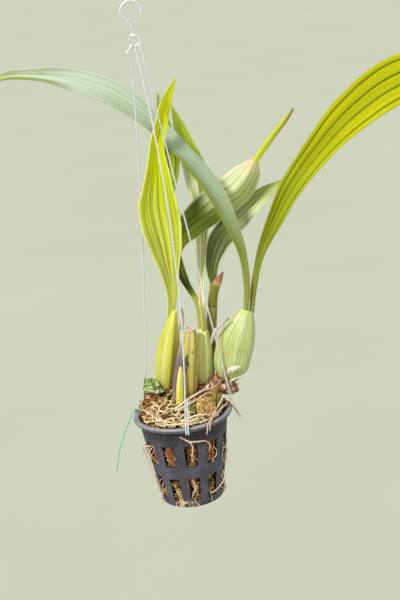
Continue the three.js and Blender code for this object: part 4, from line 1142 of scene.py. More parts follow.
def rhizome(skin, papery, form):
    """Each run is wrapped in papery scales that point along it and lie one over another."""
    draw = random.Random(77)
    spots = []
    for number, (points, radius, tip, scales) in enumerate(RHIZOME_RUNS):
        def radius_at(share):
            return 0.92 * mix(radius, tip, share) * min(1.0, 0.55 + 5 * min(share, 1 - share))

        def reach_at(angle, share):
            lumps = noise.noise(polar(2, angle, share * 30))
            return radius_at(share) * (1 + 0.07 * lumps + 0.03 * math.sin(9 * angle + int(share * scales)))

        line = smooth_line(points, scales * 9)
        show(f"rhizome_run_{number + 1}", tube(line, 40, reach_at), [skin], "rhizome_brown",
             [] if number else ["rhizome"])
        frames = frames_along(line)
        last = scales * 2 - 1
        for ring in range(last + 1):
            at, along, side, over = frames[round((len(frames) - 10) * ring / last)]
            for turn in range(SCALES_ROUND):
                angle = FULL_TURN * (turn + 0.5 * (ring % 2) + draw.uniform(-0.2, 0.2)) / SCALES_ROUND
                outward = side * math.cos(angle) + over * math.sin(angle)
                flare = (along + outward * draw.uniform(0.08, 0.4)).normalized()
                across = flare.cross(outward).normalized()
                base = Matrix((across, flare, across.cross(flare))).transposed().to_4x4()
                wide = draw.uniform(5.2, 7.6)
                size = Matrix.Diagonal((wide, draw.uniform(4.5, 7.0), wide * 0.8, 1))
                foot = Matrix.Translation(at + outward * (radius_at(ring / last) + 0.15))
                spots.append((foot @ base @ size, draw.random()))
    crowd("rhizome_scales", form, spots, papery, "rhizome_brown")


SHOOT_LINE = [(29, 40, 100), (35, 42, 135), (39, 43, 162), (43.5, 44, 188), (47, 45.5, 208)]
SHOOT_STEPS = 60
# Where on the shoot each sheath starts and ends, in steps
SHOOT_SHEATHS = ((0, 34), (18, 52))


def shoot_stem(skin, dry):
    """The new shoot: a stem in overlapping sheaths, each with a slanting dry edge."""
    line = smooth_line(SHOOT_LINE, SHOOT_STEPS)
    stem = tube(line, 28, lambda angle, share: (4.5 - 0.3 * share * share) * (1 + 0.03 * math.cos(7 * angle)))
    show("shoot_stem", stem, [skin], "sheath_olive", ["shoot_new"])
    for number, (first, last) in enumerate(SHOOT_SHEATHS):
        frames = frames_along(line[first:last])

        def place(across, along):
            at, way, side, over = frames[round(along * (len(frames) - 1))]
            angle = FULL_TURN * across
            share = (first + along * (last - first)) / SHOOT_STEPS
            reach = 4.75 - 0.3 * share * share + 0.5 * (1 - along) + 0.25 * number
            slant = way * (3.2 * along ** 3 * math.cos(angle + 1 + 2 * number))
            return round_line(at + slant, side, over, angle, reach)

        wrap = draped_grid(32, 24, place, closed=True)
        thicken(show(f"shoot_sheath_{number + 1}", wrap, [dry], "sheath_olive"), 0.35)


# Roots. Each node's runs, each a line and its radius at the start
ROOTS = {
    "root_over_front_rim": (
        ([(45.2, 7, 95.8), (44.7, -2, 94.6), (41.2, -10.5, 95.9), (36.6, -19, 95.4), (32, -27, 94.4),
          (27, -38, 93.5), (23.8, -45.4, 93.3), (22.8, -48.8, 89), (21.8, -48.6, 84)], 1.15),
        ([(33, -25, 93.6), (29.6, -32, 94.2), (27.8, -39, 94.2), (26.2, -44.6, 93.6), (25.4, -47.8, 89.5),
          (24.6, -47.4, 86.8)], 0.95)),
    "root_over_right_rim": (
        ([(44.6, 1.5, 99), (48.5, 1, 96.5), (51.8, .5, 91), (53.6, .3, 84), (57.4, 0, 75.5)], 1.3125),),
    "root_brown_right": (
        ([(45, -4.5, 94.4), (49, -4, 94), (52.4, -3.4, 89.5), (57.6, -2.6, 80.5)], 0.8),),
    "root_upper_slot": (
        ([(-4.6, -45.8, 83), (-1, -45.4, 80.2), (4.1, -45.2, 76.8), (13.2, -43.7, 75.4), (20.4, -39.6, 73),
          (23.1, -37.2, 67), (22, -34.4, 61)], 1.0),
        ([(4.1, -45.2, 76.8), (6.3, -44.6, 71), (5.7, -42.9, 65), (4.3, -40.1, 58), (4.1, -38.4, 52)], 0.9)),
    "root_lower_slot": (
        ([(2.1, -34.4, 31.6), (3.3, -36.5, 28.6), (4.1, -36.3, 25), (1.9, -35.5, 19), (-.2, -34.3, 14),
          (-.4, -32.5, 11.4)], 0.9),
        ([(4.1, -36.3, 25), (5.8, -35.3, 24), (6.8, -34, 23.6)], 0.75)),
    "root_left_side": (
        ([(-35.2, -18, 66.2), (-39.6, -18.2, 66.6), (-43.7, -10.8, 63), (-43.3, -9.4, 58), (-41.7, -9.6, 52),
          (-39.7, -9.8, 43), (-38, -9.9, 34), (-35.6, -10.9, 25), (-32.6, -12.2, 17.4)], 0.85),),
    "root_right_low": (
        ([(32.8, -15.9, 29), (34.4, -16.5, 25), (30.3, -22.1, 18.6), (24.2, -26.8, 14.6), (19.2, -29.4, 12.8),
          (19.1, -26.3, 12.4)], 0.85),),
}


def outer_roots(pink, cream, brown):
    finishes = {"root_over_right_rim": cream, "root_brown_right": brown}
    for number, (node, runs) in enumerate(ROOTS.items()):
        draw = random.Random(number)
        lines = []
        for points, radius in runs:
            line, radii = tapered(smooth_line(points, 8 * len(points)), radius, 0.45)
            lines.append((line, [thick * draw.uniform(0.86, 1.1) for thick in radii]))
        slot = "root_brown" if node == "root_brown_right" else "root_cream"
        strands(node + "_skin", lines, finishes.get(node, pink), slot, [node], sides=4)


# Roots on top of the filling that show one by one: x, y and how high over the filling
TOP_ROOTS = (
    ([(-13, -10, 0.2), (-5, -8.5, 1.6), (4, -4.5, 3.6), (14, 1.5, 3.4), (24, 8, 2.6), (31, 11.5, 1)], 1.1),
    ([(-9, -12, 0.4), (0, -10.5, 2.2), (9, -6, 3), (18, 0, 3), (27, 5.5, 2.2)], 0.95),
    ([(-4, -27, 0.6), (4, -25.5, 1.3), (12, -23, 1.6), (20, -21.5, 1.2), (27, -24, 0.8)], 0.95),
    ([(-36, -6, 0.4), (-30, -14, 1.2), (-24, -22, 1), (-14, -28, 0.8), (-5, -33, 0.6)], 0.9),
    ([(28, -30, 0.8), (22, -34, 1), (14, -36.5, 0.9), (4, -38, 0.6)], 0.85),
    ([(43, 1, 1.2), (38.5, -8, 1.2), (33.5, -17, 1.6), (29, -26, 1.2)], 0.9),
    ([(-26, -30, 0.8), (-16, -34, 1.2), (-6, -37.5, 1), (4, -36, 1.1), (12, -30, 0.8)], 0.8),
)


def top_roots(finish):
    lines = []
    for points, radius in TOP_ROOTS:
        line = smooth_line([on_mound(x, y, lift + 0.4) for x, y, lift in points], 30)
        lines.append(spindled(line, radius, 0.45, power=3))
    strands("top_roots", lines, finish, "root_cream", sides=3)


# The hanger. Each wire: its direction at the rim, how far it bows to the right, the direction of
# its loop on the eye, in degrees, and on which side of the eye it starts

HANGER_WIRES = {"front": (-86.5, 10.5, 0, -1), "right": (10, 0, 42, -1), "left": (140, 4.5, -42, 1)}
WIRE, HOOK_WIRE, WIRE_GAP = 0.8, 1.1, 0.35
EYE_HEIGHT, EYE_RADIUS, HOOK_HEIGHT, HOOK_RADIUS = 459, 5.2, 486, 9.5
# How far in a wire's turn under the lip starts and ends, and how long its tail is
GRIP_START, GRIP_END, WIRE_TAIL = 47.4, 46.3, 31


def hanger_wire(name, degrees, bow, eye_degrees, eye_side, finish):
    """A wire from a loop on the hook's eye down to the rim, once under the lip, and its tail."""
    eye_angle = math.radians(eye_degrees)
    eye_out = Vector((math.sin(eye_angle), 0, -math.cos(eye_angle)))
    eye_point = Vector((0, 0, EYE_HEIGHT)) + eye_out * EYE_RADIUS
    loop = HOOK_WIRE + WIRE_GAP + WIRE
    outward = polar(1, math.radians(degrees), 0)
    tangent = polar(1, math.radians(degrees + 90), 0)
    beyond_rim = RIM_RADIUS + WIRE + WIRE_GAP
    apart = WIRE + WIRE_GAP / 2 + 0.1
    under = LIP_UNDER - WIRE - WIRE_GAP

    def looped(out, over):
        return eye_point + eye_out * out + Vector((0, eye_side * over * loop, 0))

    def hooked(reach, height, offset):
        return outward * reach + Vector((0, 0, height)) + tangent * offset * apart

    def strand(share, offset):
        bowed = Vector((4 * bow * share * (1 - share), 0, 0))
        return hooked(beyond_rim, RIM_TOP, 0).lerp(looped(2, 1), share) + bowed + tangent * offset * apart

    points = [looped(8, -1), looped(3, -1), looped(0, -1), looped(-0.7 * loop, -0.7), looped(-loop, 0),
              looped(-0.7 * loop, 0.7), looped(0, 1), looped(2, 1)]
    points += [strand(share, 0 if share > 0.2 else -0.7) for share in (0.94, 0.8, 0.62, 0.45, 0.3, 0.16)]
    points += [strand(0.07, -1), strand(0, -1), hooked(beyond_rim, LIP_UNDER, -1),
               hooked(beyond_rim - 1, under, -1), hooked(GRIP_START, under, -1),
               hooked(GRIP_END, under, 0), hooked(GRIP_START, under, 1), hooked(beyond_rim - 1, under, 1),
               hooked(beyond_rim, LIP_UNDER, 1), strand(0, 1)]
    tail = WIRE_TAIL / (EYE_HEIGHT - RIM_TOP)
    points += [strand(tail * 0.5, 1), strand(tail, 1)]
    line = smooth_line(points, 6 * len(points))
    strands(f"wire_{name}", [tapered(line, WIRE)], finish, "galvanised", [f"hanger_wire_{name}"], sides=4)


def hook(finish):
    """The hook: its eye, a short neck and the bend."""
    points = []
    for degrees in range(60, 401, 20):
        ring = polar(EYE_RADIUS, math.radians(degrees), 0)
        drift = 1.55 * HOOK_WIRE * ((degrees - 230) / 170) ** 7
        points.append((-ring.y, drift, EYE_HEIGHT + ring.x))
    points += [(-1.2, 1.2, EYE_HEIGHT + EYE_RADIUS + 2.2), (0, .4, EYE_HEIGHT + EYE_RADIUS + 6)]
    for degrees in range(-90, 121, 20):
        ring = polar(HOOK_RADIUS, math.radians(90 - degrees), 0)
        points.append((ring.x, 0, HOOK_HEIGHT + ring.y))
    line = smooth_line(points, 5 * len(points))
    strands("hook_wire", [tapered(line, HOOK_WIRE)], finish, "galvanised", ["hanger_hook"], sides=5)


# The string

STRING_LINE = [(-41.9, 11, 95.6), (-44.6, 10.9, 94.6), (-47.4, 10.7, 93.2), (-50.2, 10.5, 92.4),
               (-53, 10.3, 88), (-57.6, 10, 79.8), (-60.6, 10, 74), (-63.3, 10, 67.8), (-65.9, 10, 62.2),
               (-68.1, 10, 57.2), (-70.1, 10, 51), (-72, 10, 44.8), (-73.6, 10, 38.6), (-75, 10, 32.4)]
STRING_RADIUS, KNOT_RADIUS, KNOT_AT = 0.5, 0.38, Vector((-47, 10.6, 93.6))


def teal_string(finish):
    line = smooth_line(STRING_LINE, 28)
    piece = strands("string_run", [tapered(line, STRING_RADIUS)], finish, "string_teal", ["green_string"],
                    sides=3)
    length = sum((b - a).length for a, b in zip(line, line[1:])) * MM


def string_knot(finish):
    """A few loose turns and ends where the string is tied at the rim."""
    draw = random.Random(90)
    lines = []
    for number in range(5):
        points = [KNOT_AT]
        for step in range(4):
            ring = polar(0.9 * (1.0 + 0.75 * step), FULL_TURN * number / 5 + 0.7 * step, 0)
            points.append(KNOT_AT + Vector((ring.x, draw.uniform(-1.4, 1.0), abs(ring.y) + 0.2)))
        lines.append(tapered(smooth_line(points, 16), KNOT_RADIUS))
    strands("string_knot", lines, finish, "string_teal", sides=2)


def set_studio():
    world = bpy.data.worlds.new("studio")
    world.use_nodes = True
    sky = world.node_tree.nodes["Background"]
    sky.inputs["Color"].default_value = tint(*SKY_COLOUR)
    sky.inputs["Strength"].default_value = SKY_STRENGTH
    scene.world = world
    for name, (power, spread, way) in (("key", KEY_SUN), ("fill", FILL_SUN)):
        light = bpy.data.lights.new(name, "SUN")
        light.energy = power
        light.angle = math.radians(spread)
        lamp = bpy.data.objects.new(name, light)
        lamp.rotation_euler = Vector(way).to_track_quat("Z", "Y").to_euler()
        scene.collection.objects.link(lamp)
    floor = bmesh.new()
    bmesh.ops.create_grid(floor, x_segments=1, y_segments=1, size=FLOOR_HALF)
    bmesh.ops.translate(floor, verts=floor.verts, vec=(0, 0, -FLOOR_DROP))
    paint = Finish("floor_paint", 0.95, specular=0.1)
    mesh = as_mesh("floor", floor)
    paint.shade = paint.ramp(paint.mottle(1.2), (0.3, 196, 200, 180), (0.7, 200, 204, 184))
    mesh.materials.append(paint.done())
    ground = bpy.data.objects.new("floor", mesh)
    scene.collection.objects.link(ground)


# Everything in place

set_viewer()
set_studio()
teal = string_finish()
teal_string(teal)
string_knot(teal)

pot_shell(plastic_finish())
chip = chip_form()
pink_root = root_finish("root_pink", (240, 215, 190), (218, 166, 134), (140, 88, 68))
cream_root = root_finish("root_cream", (252, 240, 212), (242, 212, 176), (170, 124, 92))
medium_core(filling_finish())
bark_chips(chip, bark_finish(
    "bark", (58, 32, 20), (260, 900, 900), (0, 92, 54, 32), (0.3, 152, 98, 60), (0.6, 202, 144, 92),
    (0.85, 228, 188, 138), (1, 244, 222, 180)))
slot_chips(chip, bark_finish(
    "upright_bark", (40, 20, 14), (900, 900, 45), (0, 42, 22, 16), (0.35, 90, 46, 30), (0.7, 134, 76, 50),
    (1, 190, 128, 90)))
husk_block(bark_finish(
    "husk", (46, 28, 12), (700, 700, 60), (0, 60, 38, 18), (0.4, 100, 68, 32), (0.7, 150, 110, 58),
    (1, 200, 160, 96)))
husk_strands(root_finish("gold_fibre", (236, 200, 130), (182, 136, 72), (84, 54, 26)))
root_net(root_finish("net_root", (250, 236, 194), (232, 206, 146), (160, 120, 76)))
olive_strands(root_finish("olive_fibre", (150, 152, 66), (104, 108, 36), (62, 60, 22)))
slot_roots(pink_root)
husk_fibres(root_finish("husk_fibre", (222, 200, 120), (184, 150, 72), (112, 78, 40)))
moss(leaflet_form(0.3), leaflet_finish(
    "moss", (0, 50, 58, 14), (0.35, 116, 118, 28), (0.7, 206, 194, 70), (1, 240, 228, 148)))
top_roots(cream_root)
outer_roots(pink_root, cream_root, root_finish("root_brown", (170, 104, 76), (132, 72, 52), (74, 38, 28)))
leaflet = leaflet_form(0.9)
weed_leaf = leaflet_finish(
    "weed_leaf", (0, 204, 234, 132), (0.5, 234, 252, 176), (1, 248, 255, 214), roughness=0.7)
weed("weed_leaves", "weed_tuft", 3, leaflet, weed_leaf,
     ((-29, 14.5, 112.5), 13, 7, 40), ((-22, 11, 110.5), 9, 5.5, 26), ((-31, 14, 119.5), 9, 5.5, 20),
     ((-27, 13, 117), 13, 6.5, 26))
weed("weed_leaves_small", "weed_small", 5, leaflet, weed_leaf, ((-12.6, 7.6, 107.6), 4.4, 2.3, 12))

# Each bulb's piece: its node, slot, form and skin
BULBS = {
    "bulb_left_skin": ("bulb_left", "bulb_yellow", dict(
        axis=[(-15.5, 25, 100), (-9.3, 24, 144), (4.5, 23, 191)], rings=POINTED_RINGS, radius=11.6,
        depth=0.86, ribs=5, rib_height=0.09, rib_phase=0.3, ridges=20, ridge_height=0.006), dict(
        name="bulb_yellow", groove=(216, 210, 140), crest=(200, 204, 70), heights=[
            (0, 120, 110, 40), (0.12, 186, 184, 76), (0.4, 204, 206, 92), (0.7, 206, 208, 80),
            (0.88, 222, 220, 66), (1, 230, 222, 100)])),
    "bulb_old_skin": ("bulb_old", "bulb_old_skin", dict(
        axis=[(7.3, 11, 99.5), (11.7, 10.6, 135.5), (18.2, 12, 172.4)], rings=DOMED_RINGS, radius=8.6,
        depth=0.85, ribs=6, rib_height=0.1, rib_phase=0.4, ridges=24, ridge_height=0.006), dict(
        name="bulb_old", groove=(172, 152, 78), specks=(96, 76, 58),
        stain=(0.67, 0.53, 0.11, 0.13, (50, 42, 44)), heights=[
            (0, 110, 90, 50), (0.15, 170, 152, 74), (0.5, 190, 176, 86), (0.85, 200, 190, 106),
            (0.95, 190, 160, 120), (1, 120, 90, 80)])),
    "bulb_middle_skin": ("bulb_middle", "bulb_green", dict(
        axis=[(24.5, 28, 103), (27, 28, 140), (30.6, 29, 167)], rings=SLIM_RINGS, radius=9.2,
        depth=0.88, ribs=6, rib_height=0.05, rib_phase=0.0, ridges=30, ridge_height=0.003), dict(
        name="bulb_green", groove=(208, 212, 128), heights=[
            (0, 160, 160, 90), (0.3, 210, 216, 132), (0.8, 228, 232, 150), (1, 232, 232, 160)])),
    "bulb_right_skin": ("bulb_right", "bulb_pale", dict(
        axis=[(51.5, 22, 109), (59, 22, 142), (77, 22, 183.5)], rings=PLUMP_RINGS, radius=18.4,
        depth=0.76, ribs=8, rib_height=0.022, rib_phase=0.2, ridges=30, ridge_height=0.006, twist=0.5), dict(
        name="bulb_pale", groove=(190, 200, 124), crest=(216, 218, 158), fine=34,
        patches=(236, 232, 190), heights=[
            (0, 126, 124, 64), (0.12, 178, 188, 100), (0.4, 196, 208, 136), (0.8, 204, 214, 150),
            (1, 210, 214, 156)])),
    "bud_skin": ("bulb_bud", "bulb_yellow", dict(
        axis=[(-1.7, -1.4, 97.5), (0, -1.9, 118.4), (3.9, -1, 139.5)], rings=BUD_RINGS, radius=3.9,
        depth=0.9, ribs=3, rib_height=0.08, rib_phase=0.0, ridges=12, ridge_height=0.008), dict(
        name="bud_yellow", groove=(214, 204, 90), heights=[
            (0, 196, 188, 80), (0.4, 240, 230, 110), (1, 244, 232, 140)])),
}
for piece, (node, slot, form, skin) in BULBS.items():
    bulb(piece, node, slot, bulb_finish(ribs=form["ribs"], phase=form["rib_phase"], **skin), **form)

rhizome(bark_finish("rhizome_skin", (66, 40, 30), (420, 420, 160), (0, 130, 84, 62), (1, 184, 130, 98)),
        bark_finish("rhizome_paper", (120, 78, 58), (500, 500, 500), (0, 110, 70, 54), (0.3, 168, 114, 88),
                    (0.6, 212, 170, 134), (0.85, 234, 206, 172), (1, 244, 230, 208)), scale_form())
dry_collar(Vector((18.0, 12, 171.9)), Vector((0.16, 0.03, 1)).normalized(), 4.1, 3.4, dry_finish(
    "dry_collar", (170, 120, 104), (0, 214, 186, 150), (0.5, 246, 226, 214), (1, 236, 206, 190)))
shoot_stem(
    dry_finish("sheath_olive", (112, 116, 30), (0, 106, 98, 34), (0.6, 132, 140, 36), (1, 152, 158, 50),
               roughness=0.5),
    dry_finish("sheath_olive_dry", (120, 110, 50), (0, 132, 126, 50), (0.8, 160, 160, 70),
               (1, 216, 196, 150), roughness=0.6))

PETIOLE = (172, 182, 88)
# Each leaf: its slot, its form, the finish of its face and the stops of its back
LEAVES = {
    "leaf_front": ("leaf_yellow", dict(pleats=0.5, wave=0.6, folds=5, seed=2, stations=[
        (-2, 26, 179, 2.6, 0, 10, 4.6), (3.8, 24.5, 206, 6.6, 6, 35, 2.6), (4, 23, 230, 10.5, 8, 32, 1.4),
        (3, 21, 258, 17.5, 10, 24, 1), (1, 20, 283, 21.5, 12, 20, .9), (0.5, 20, 299, 21.2, 12, 21, .9),
        (3, 20, 323, 15.8, 14, 26, .9), (6, 19, 354, 9.6, 22, 35, .9), (12, 18, 375, 8.5, 28, 35, .9),
        (20.5, 16, 397, 6.5, 28, 30, .8), (33, 13, 420, .7, 20, 10, .7)]), dict(
        # From the middle up the left half is painted brighter than the right: painted light that undoes the
        # shade it takes where the fold turns it from the key lamp.
        left=[(0, 186, 182, 96), (0.12, 192, 196, 92), (0.3, 204, 210, 84), (0.5, 218, 224, 30),
              (0.64, 236, 238, 0), (0.9, 236, 240, 0), (1, 206, 214, 30)],
        right=[(0, 186, 182, 90), (0.12, 190, 194, 82), (0.3, 198, 206, 66), (0.5, 204, 214, 30),
               (0.64, 208, 218, 4), (0.9, 206, 216, 0), (1, 190, 200, 24)],
        crease_vein_and_shade=(206, 214, 130), margin=(230, 234, 150), bands=0.45,
        creased=[(0, 0.8), (0.55, 0.6), (0.68, 0.15), (1, 0.1)],
        streaks=[(17, (236, 234, 140), 0.04, 0.62, 0.7), (23, (142, 154, 30), 0.1, 0.66, 0.9),
                 (31, (176, 188, 10), 0.45, 0.95, 0.5)]),
        [(0, 186, 190, 96), (1, 190, 206, 70)]),
    "leaf_folded": ("leaf_green", dict(pleats=0.35, wave=0.5, folds=5, seed=3, stations=[
        (1.5, 29.5, 181, 2.2, 0, 0, 3.4), (3, 37, 207, 4, 5, -10, 2.4), (7, 43, 235, 7, 10, -20, 1.4),
        (17, 46, 257, 11.5, 18, -25, 1), (33, 48.5, 270, 17, 22, -28, .9), (57, 51, 285, 20.5, 24, -28, .9),
        (82, 52, 300, 20.5, 24, -28, .9), (93.5, 50.3, 313.5, 15.6, 18, -28, .9),
        (98.5, 49.3, 321.8, 9.5, 8, -28, .9), (102.5, 48.7, 327.5, 4, -10, -28, .9),
        (119.6, 46, 347.6, 3.6, -12, -20, .9), (135, 43.6, 364, 2.9, -15, -20, .9),
        (144.2, 42, 374.2, .7, -15, -10, .7)]), dict(
        # Low on the blade both halves go dark green: partly painted shadow of the leaves in front of it.
        # Above that the blade turns pale cream, the left half paler: partly painted light where it faces the
        # lamp, partly the leaf's own pale colour.
        left=[(0, *PETIOLE), (0.18, 124, 142, 8), (0.28, 92, 108, 10), (0.38, 104, 120, 24),
              (0.44, 224, 232, 184), (0.56, 240, 242, 204), (0.63, 250, 230, 200), (0.7, 236, 206, 160),
              (0.76, 200, 210, 70), (0.95, 184, 198, 40), (1, 120, 82, 60)],
        right=[(0, *PETIOLE), (0.18, 140, 160, 6), (0.3, 134, 156, 6), (0.38, 118, 138, 26),
               (0.46, 190, 204, 128), (0.56, 214, 222, 150), (0.64, 238, 224, 176), (0.7, 226, 206, 150),
               (0.76, 184, 198, 40), (1, 120, 82, 60)],
        crease_vein_and_shade=(226, 230, 200), margin=(232, 226, 176), bands=0.35,
        streaks=[(43, (176, 188, 120), 0.14, 0.42, 0.4), (27, (156, 170, 104), 0.4, 0.7, 0.6)]),
        [(0, *PETIOLE), (0.5, 132, 148, 70), (1, 180, 184, 90)]),
    "leaf_middle_left": ("leaf_green", dict(pleats=0.6, wave=0.4, folds=3, seed=4, stations=[
        (27.5, 28.5, 164, 1.9, 0, 0, 3), (27.5, 34, 193, 2.8, 10, 15, 2), (18, 43, 214.5, 4.4, 15, 25, 1.3),
        (9.5, 55, 244, 7.5, 15, 25, 1), (3.8, 60, 284.5, 9.5, 12, 20, .9), (16, 58.5, 330, 11, 10, 20, .9),
        (16.8, 52, 365.5, 8.5, 15, 25, .9), (14, 42, 406, .7, 20, 10, .7)]), dict(
        left=[(0, 190, 196, 84), (0.16, 176, 186, 70), (0.25, 66, 82, 20), (0.6, 84, 102, 20),
              (0.75, 130, 150, 44), (0.9, 176, 190, 80), (1, 214, 214, 160)],
        right=[(0, 190, 196, 84), (0.16, 176, 186, 70), (0.25, 90, 108, 34), (0.5, 150, 168, 20),
               (0.8, 176, 190, 40), (1, 214, 214, 160)]),
        [(0, *PETIOLE), (1, 150, 168, 96)]),
    "leaf_middle_erect": ("leaf_green", dict(pleats=0.7, wave=0.4, folds=3, seed=5, stations=[
        (32.8, 30.5, 164, 1.9, 0, 0, 3), (33.5, 38, 192, 3, -8, 30, 2), (35, 46, 217, 4.5, -10, 40, 1.3),
        (40, 59, 245.2, 7, -12, 40, 1), (43.6, 69, 278, 9.5, -12, 28, .9), (43, 71, 318.2, 13, -12, 22, .9),
        (37, 67, 345.7, 10.5, -10, 24, .9), (31, 62, 371, 6, -10, 20, .9),
        (26, 58, 390, .7, -10, 10, .7)]), dict(
        # From the stalk to past the middle the colour is raised to full cream: the stalk's own pale colour,
        # with painted light that lifts the shadow leaf_folded casts on it.
        left=[(0, 216, 216, 124), (0.16, 255, 255, 206), (0.6, 255, 255, 212), (0.72, 196, 212, 84),
              (1, 184, 202, 64)],
        right=[(0, 206, 210, 118), (0.16, 255, 255, 200), (0.45, 236, 240, 158), (0.6, 192, 204, 92),
               (0.75, 190, 208, 72), (1, 184, 202, 64)],
        crease_vein_and_shade=(150, 160, 96), margin=(246, 246, 210), bands=0.2,
        creased=[(0, 1), (0.5, 0.8), (0.7, 0.2), (1, 0.1)],
        streaks=[(21, (140, 150, 70), 0.12, 0.6, 0.45)]),
        [(0, *PETIOLE), (1, 160, 176, 96)]),
    "leaf_long_left": ("leaf_pale", dict(pleats=0.25, wave=0.5, folds=5, seed=6, rows=150, stations=[
        (74.5, 20.5, 178, 2.4, 0, 0, 4.2), (78.8, 18.5, 208, 3.2, 5, 10, 3.2),
        (78, 19.5, 240, 4.4, 12, 25, 2.2), (69, 23.5, 274, 8.5, 24, 24, 1.2),
        (52.5, 28, 313.5, 11.2, 28, 18, .9), (28.8, 31.5, 349.3, 9.8, 30, 16, .9),
        (2.8, 34, 381, 11.6, 30, 14, .9), (-28, 33, 409, 14.5, 24, 16, .9), (-61, 28, 426, 13, 14, 22, .9),
        (-95, 22, 436, 10, 6, 50, .9), (-122, 18, 440, 6, 0, 50, .9), (-143, 15, 437, .7, 0, 10, .7)]), dict(
        # The narrow olive strip on one side of the split and the pale bluish rest: partly the leaf's own
        # colours, partly painted shade on the strip, the half turned down from the light.
        left=[(0, 154, 160, 76), (0.16, 134, 146, 54), (0.3, 136, 150, 40), (0.44, 146, 160, 56),
              (0.52, 176, 194, 150), (0.72, 208, 220, 200), (0.8, 150, 168, 60), (1, 140, 158, 40)],
        right=[(0, 150, 156, 72), (0.2, 132, 144, 62), (0.27, 134, 150, 80), (0.33, 152, 170, 128),
               (0.43, 176, 194, 168), (0.55, 190, 206, 182), (0.76, 214, 224, 206), (0.86, 222, 230, 204),
               (1, 176, 188, 60)],
        split=0.26, crease_vein_and_shade=(226, 232, 220), roughness=0.5, bands=0.2,
        streaks=[(37, (208, 218, 198), 0.2, 0.98, 0.45), (29, (146, 164, 140), 0.2, 0.98, 0.4)]),
        [(0, *PETIOLE), (0.3, 136, 152, 40), (1, 126, 146, 16)]),
    "leaf_long_right": ("leaf_olive", dict(pleats=0.25, wave=0.6, folds=5, seed=7, rows=150, stations=[
        (80.8, 23.5, 178, 2.3, 0, 0, 4), (86, 23.5, 205, 3.1, 5, 10, 3), (95, 20, 237, 4.4, 10, 25, 2.2),
        (109, 16, 266, 8, 12, 28, 1.3), (129, 10, 301, 11.5, 12, 20, 1), (156, 4, 334, 14, 12, 14, .9),
        (188, -4, 366, 18.5, 14, 10, .9), (228, -14, 393, 22, 14, 8, .9), (267, -24, 404, 21.5, 16, 10, .9),
        (307, -32, 400, 15, 18, 14, .9), (344, -36, 381, .7, 20, 10, .7)]), dict(
        left=[(0, 160, 160, 80), (0.16, 138, 142, 46), (0.28, 128, 138, 4), (0.42, 170, 178, 0),
              (0.6, 206, 202, 0), (0.85, 196, 196, 0), (1, 152, 166, 14)],
        crease_vein_and_shade=(150, 172, 120), folds=4, bands=0.5,
        streaks=[(11, (146, 154, 0), 0.2, 0.98, 0.5), (33, (206, 212, 70), 0.08, 0.5, 0.4),
                 (47, (150, 120, 10), 0.3, 0.98, 0.25)]),
        [(0, *PETIOLE), (0.4, 160, 170, 60), (1, 176, 188, 80)]),
    "leaf_shoot": ("leaf_pale", dict(pleats=0.6, wave=0.9, folds=5, seed=8, stations=[
        (46, 44.5, 203, 1.7, 0, 0, 2.6), (47.6, 49, 226.5, 8.5, 0, 32, 1.4), (57.4, 58, 246.5, 13, -6, 26, 1),
        (73, 65, 260.5, 13, -12, 20, .9), (88.4, 69, 272, 11.5, -14, 18, .9),
        (107.4, 70, 286.5, 9, -10, 18, .9),
        (128.5, 67, 301, .7, 0, 10, .7)]), dict(
        left=[(0, 104, 110, 36), (0.25, 76, 88, 28), (0.45, 100, 114, 48), (0.62, 186, 198, 140),
              (0.9, 186, 198, 106), (1, 150, 170, 70)],
        right=[(0, 102, 110, 40), (0.25, 78, 92, 34), (0.42, 108, 124, 58), (0.58, 200, 210, 160),
               (0.75, 212, 220, 170), (1, 160, 178, 80)],
        crease_vein_and_shade=(206, 214, 190), margin=(232, 222, 186), bands=0.3,
        streaks=[(25, (160, 174, 130), 0.05, 0.9, 0.45), (35, (80, 96, 40), 0.05, 0.6, 0.6)]),
        [(0, *PETIOLE), (1, 160, 176, 110)]),
}
for node, (slot, form, face, back) in LEAVES.items():
    folds = form["folds"]
    faces = [leaf_finish(node + "_face", **{"folds": folds, **face}),
             leaf_finish(node + "_back", back, folds=folds)]
    blade(node + "_blade", node, slot, faces, **form)

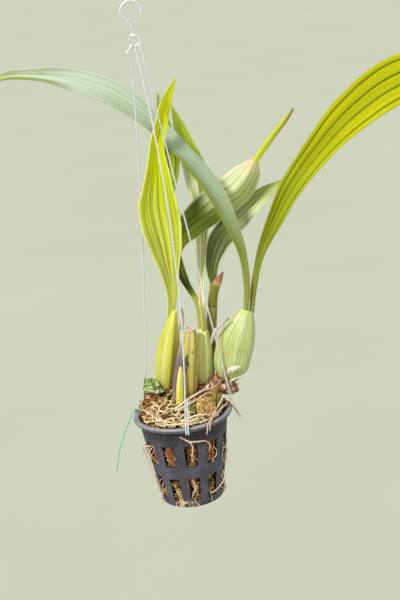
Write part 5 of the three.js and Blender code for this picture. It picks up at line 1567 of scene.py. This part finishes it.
# Each dry sheath or bract: its slot, its finish's name, the colour of its fibres, its colour
# lengthwise and its stations
DRY_SHEATHS = {
    "sheath_old": ("dry_purple", "dry_purple", (96, 74, 90), [
        (0, 196, 176, 130), (0.3, 150, 126, 140), (0.7, 142, 118, 134), (1, 200, 186, 150)], [
        (-7.8, 3.6, 100.5, 3.4, -35, -30, 1), (-4.9, 3, 118.4, 4.8, -35, -35, 1),
        (1.3, 3.4, 141.6, 4.2, -30, -35, 1), (7.3, 5, 162.8, .8, -20, -10, .8)]),
    "stub_left": ("dry_purple", "dry_stub", (120, 92, 90), [
        (0, 196, 186, 120), (0.5, 206, 190, 150), (0.75, 150, 116, 118), (1, 130, 96, 104)], [
        (8.5, 25, 170, 2.2, 15, 30, 1.4), (10.4, 24, 181, 3, 15, 40, 1.2), (10.8, 24, 192, 1.6, 10, 30, 1)]),
    "bract_middle": ("dry_pink", "dry_pink_bract", (176, 150, 100), [
        (0, 186, 192, 96), (0.45, 196, 196, 116), (0.62, 238, 212, 192), (1, 228, 196, 180)], [
        (30.5, 23.9, 166, 2, 0, -30, 1), (31, 26, 184, 2.6, 0, -40, 1), (31, 28, 197, 2.4, 0, -40, .9),
        (33.2, 29.5, 209, .7, 0, -10, .7)]),
    "sheath_shoot": ("dry_pink", "dry_pink", (110, 84, 44), [
        (0, 126, 134, 36), (0.5, 134, 136, 42), (0.57, 214, 190, 140), (0.64, 190, 132, 104),
        (1, 150, 92, 72)], [
        (43, 37.6, 186, 4, 0, -22, 1), (46.2, 37.2, 203, 5.2, -5, -24, 1),
        (51.2, 38.6, 211, 4.4, -8, -24, .9),
        (57.5, 41.5, 219.5, .7, -8, -10, .7)]),
    "bract_white": ("dry_paper", "dry_white", (190, 160, 146), [
        (0, 226, 208, 184), (0.4, 248, 240, 232), (1, 232, 214, 202)], [
        (48.8, 10.2, 121.5, 1, 0, 0, .9), (52.4, 6, 126.8, 3.2, 0, -20, .9),
        (57.5, 3.6, 129.6, 2.2, 0, -15, .9),
        (63, 3, 130.8, .7, 0, 0, .7)]),
    "strip_right": ("dry_paper", "dry_strip", (170, 150, 140), [
        (0, 236, 228, 214), (0.6, 254, 248, 242), (0.84, 236, 220, 212), (0.93, 130, 110, 104),
        (1, 70, 60, 60)], [
        (36.1, 24, 150.4, 1, 0, 0, 1), (38.2, 19.5, 157, 1.6, 5, -10, .9), (41, 15, 165, 1.8, 10, -20, .9),
        (48, 11.5, 173.5, 1.7, 20, -20, .9), (57.5, 9.5, 180, .6, 20, 0, .7)]),
}
for number, (node, (slot, name, line, lengthwise, stations)) in enumerate(DRY_SHEATHS.items()):
    blade(node + "_skin", node, slot, [dry_finish(name, line, *lengthwise)], stations, rows=48, columns=16,
          folds=2, pleats=0, wave=0, ragged=0, seed=20 + number)

spike = smooth_line([(51.5, 14.4, 108.9), (52, 8.4, 115), (61, 4.8, 118.8), (70, 3, 121.8)], 24)
strands("spike_skin", [tapered(spike, 1.6, 0.25)],
        root_finish("spike_white", (240, 222, 214), (222, 190, 180), (160, 120, 110)),
        "dry_paper", ["spike_white"], sides=3)

galvanised = wire_finish()
for name, run in HANGER_WIRES.items():
    hanger_wire(name, *run, galvanised)
hook(galvanised)
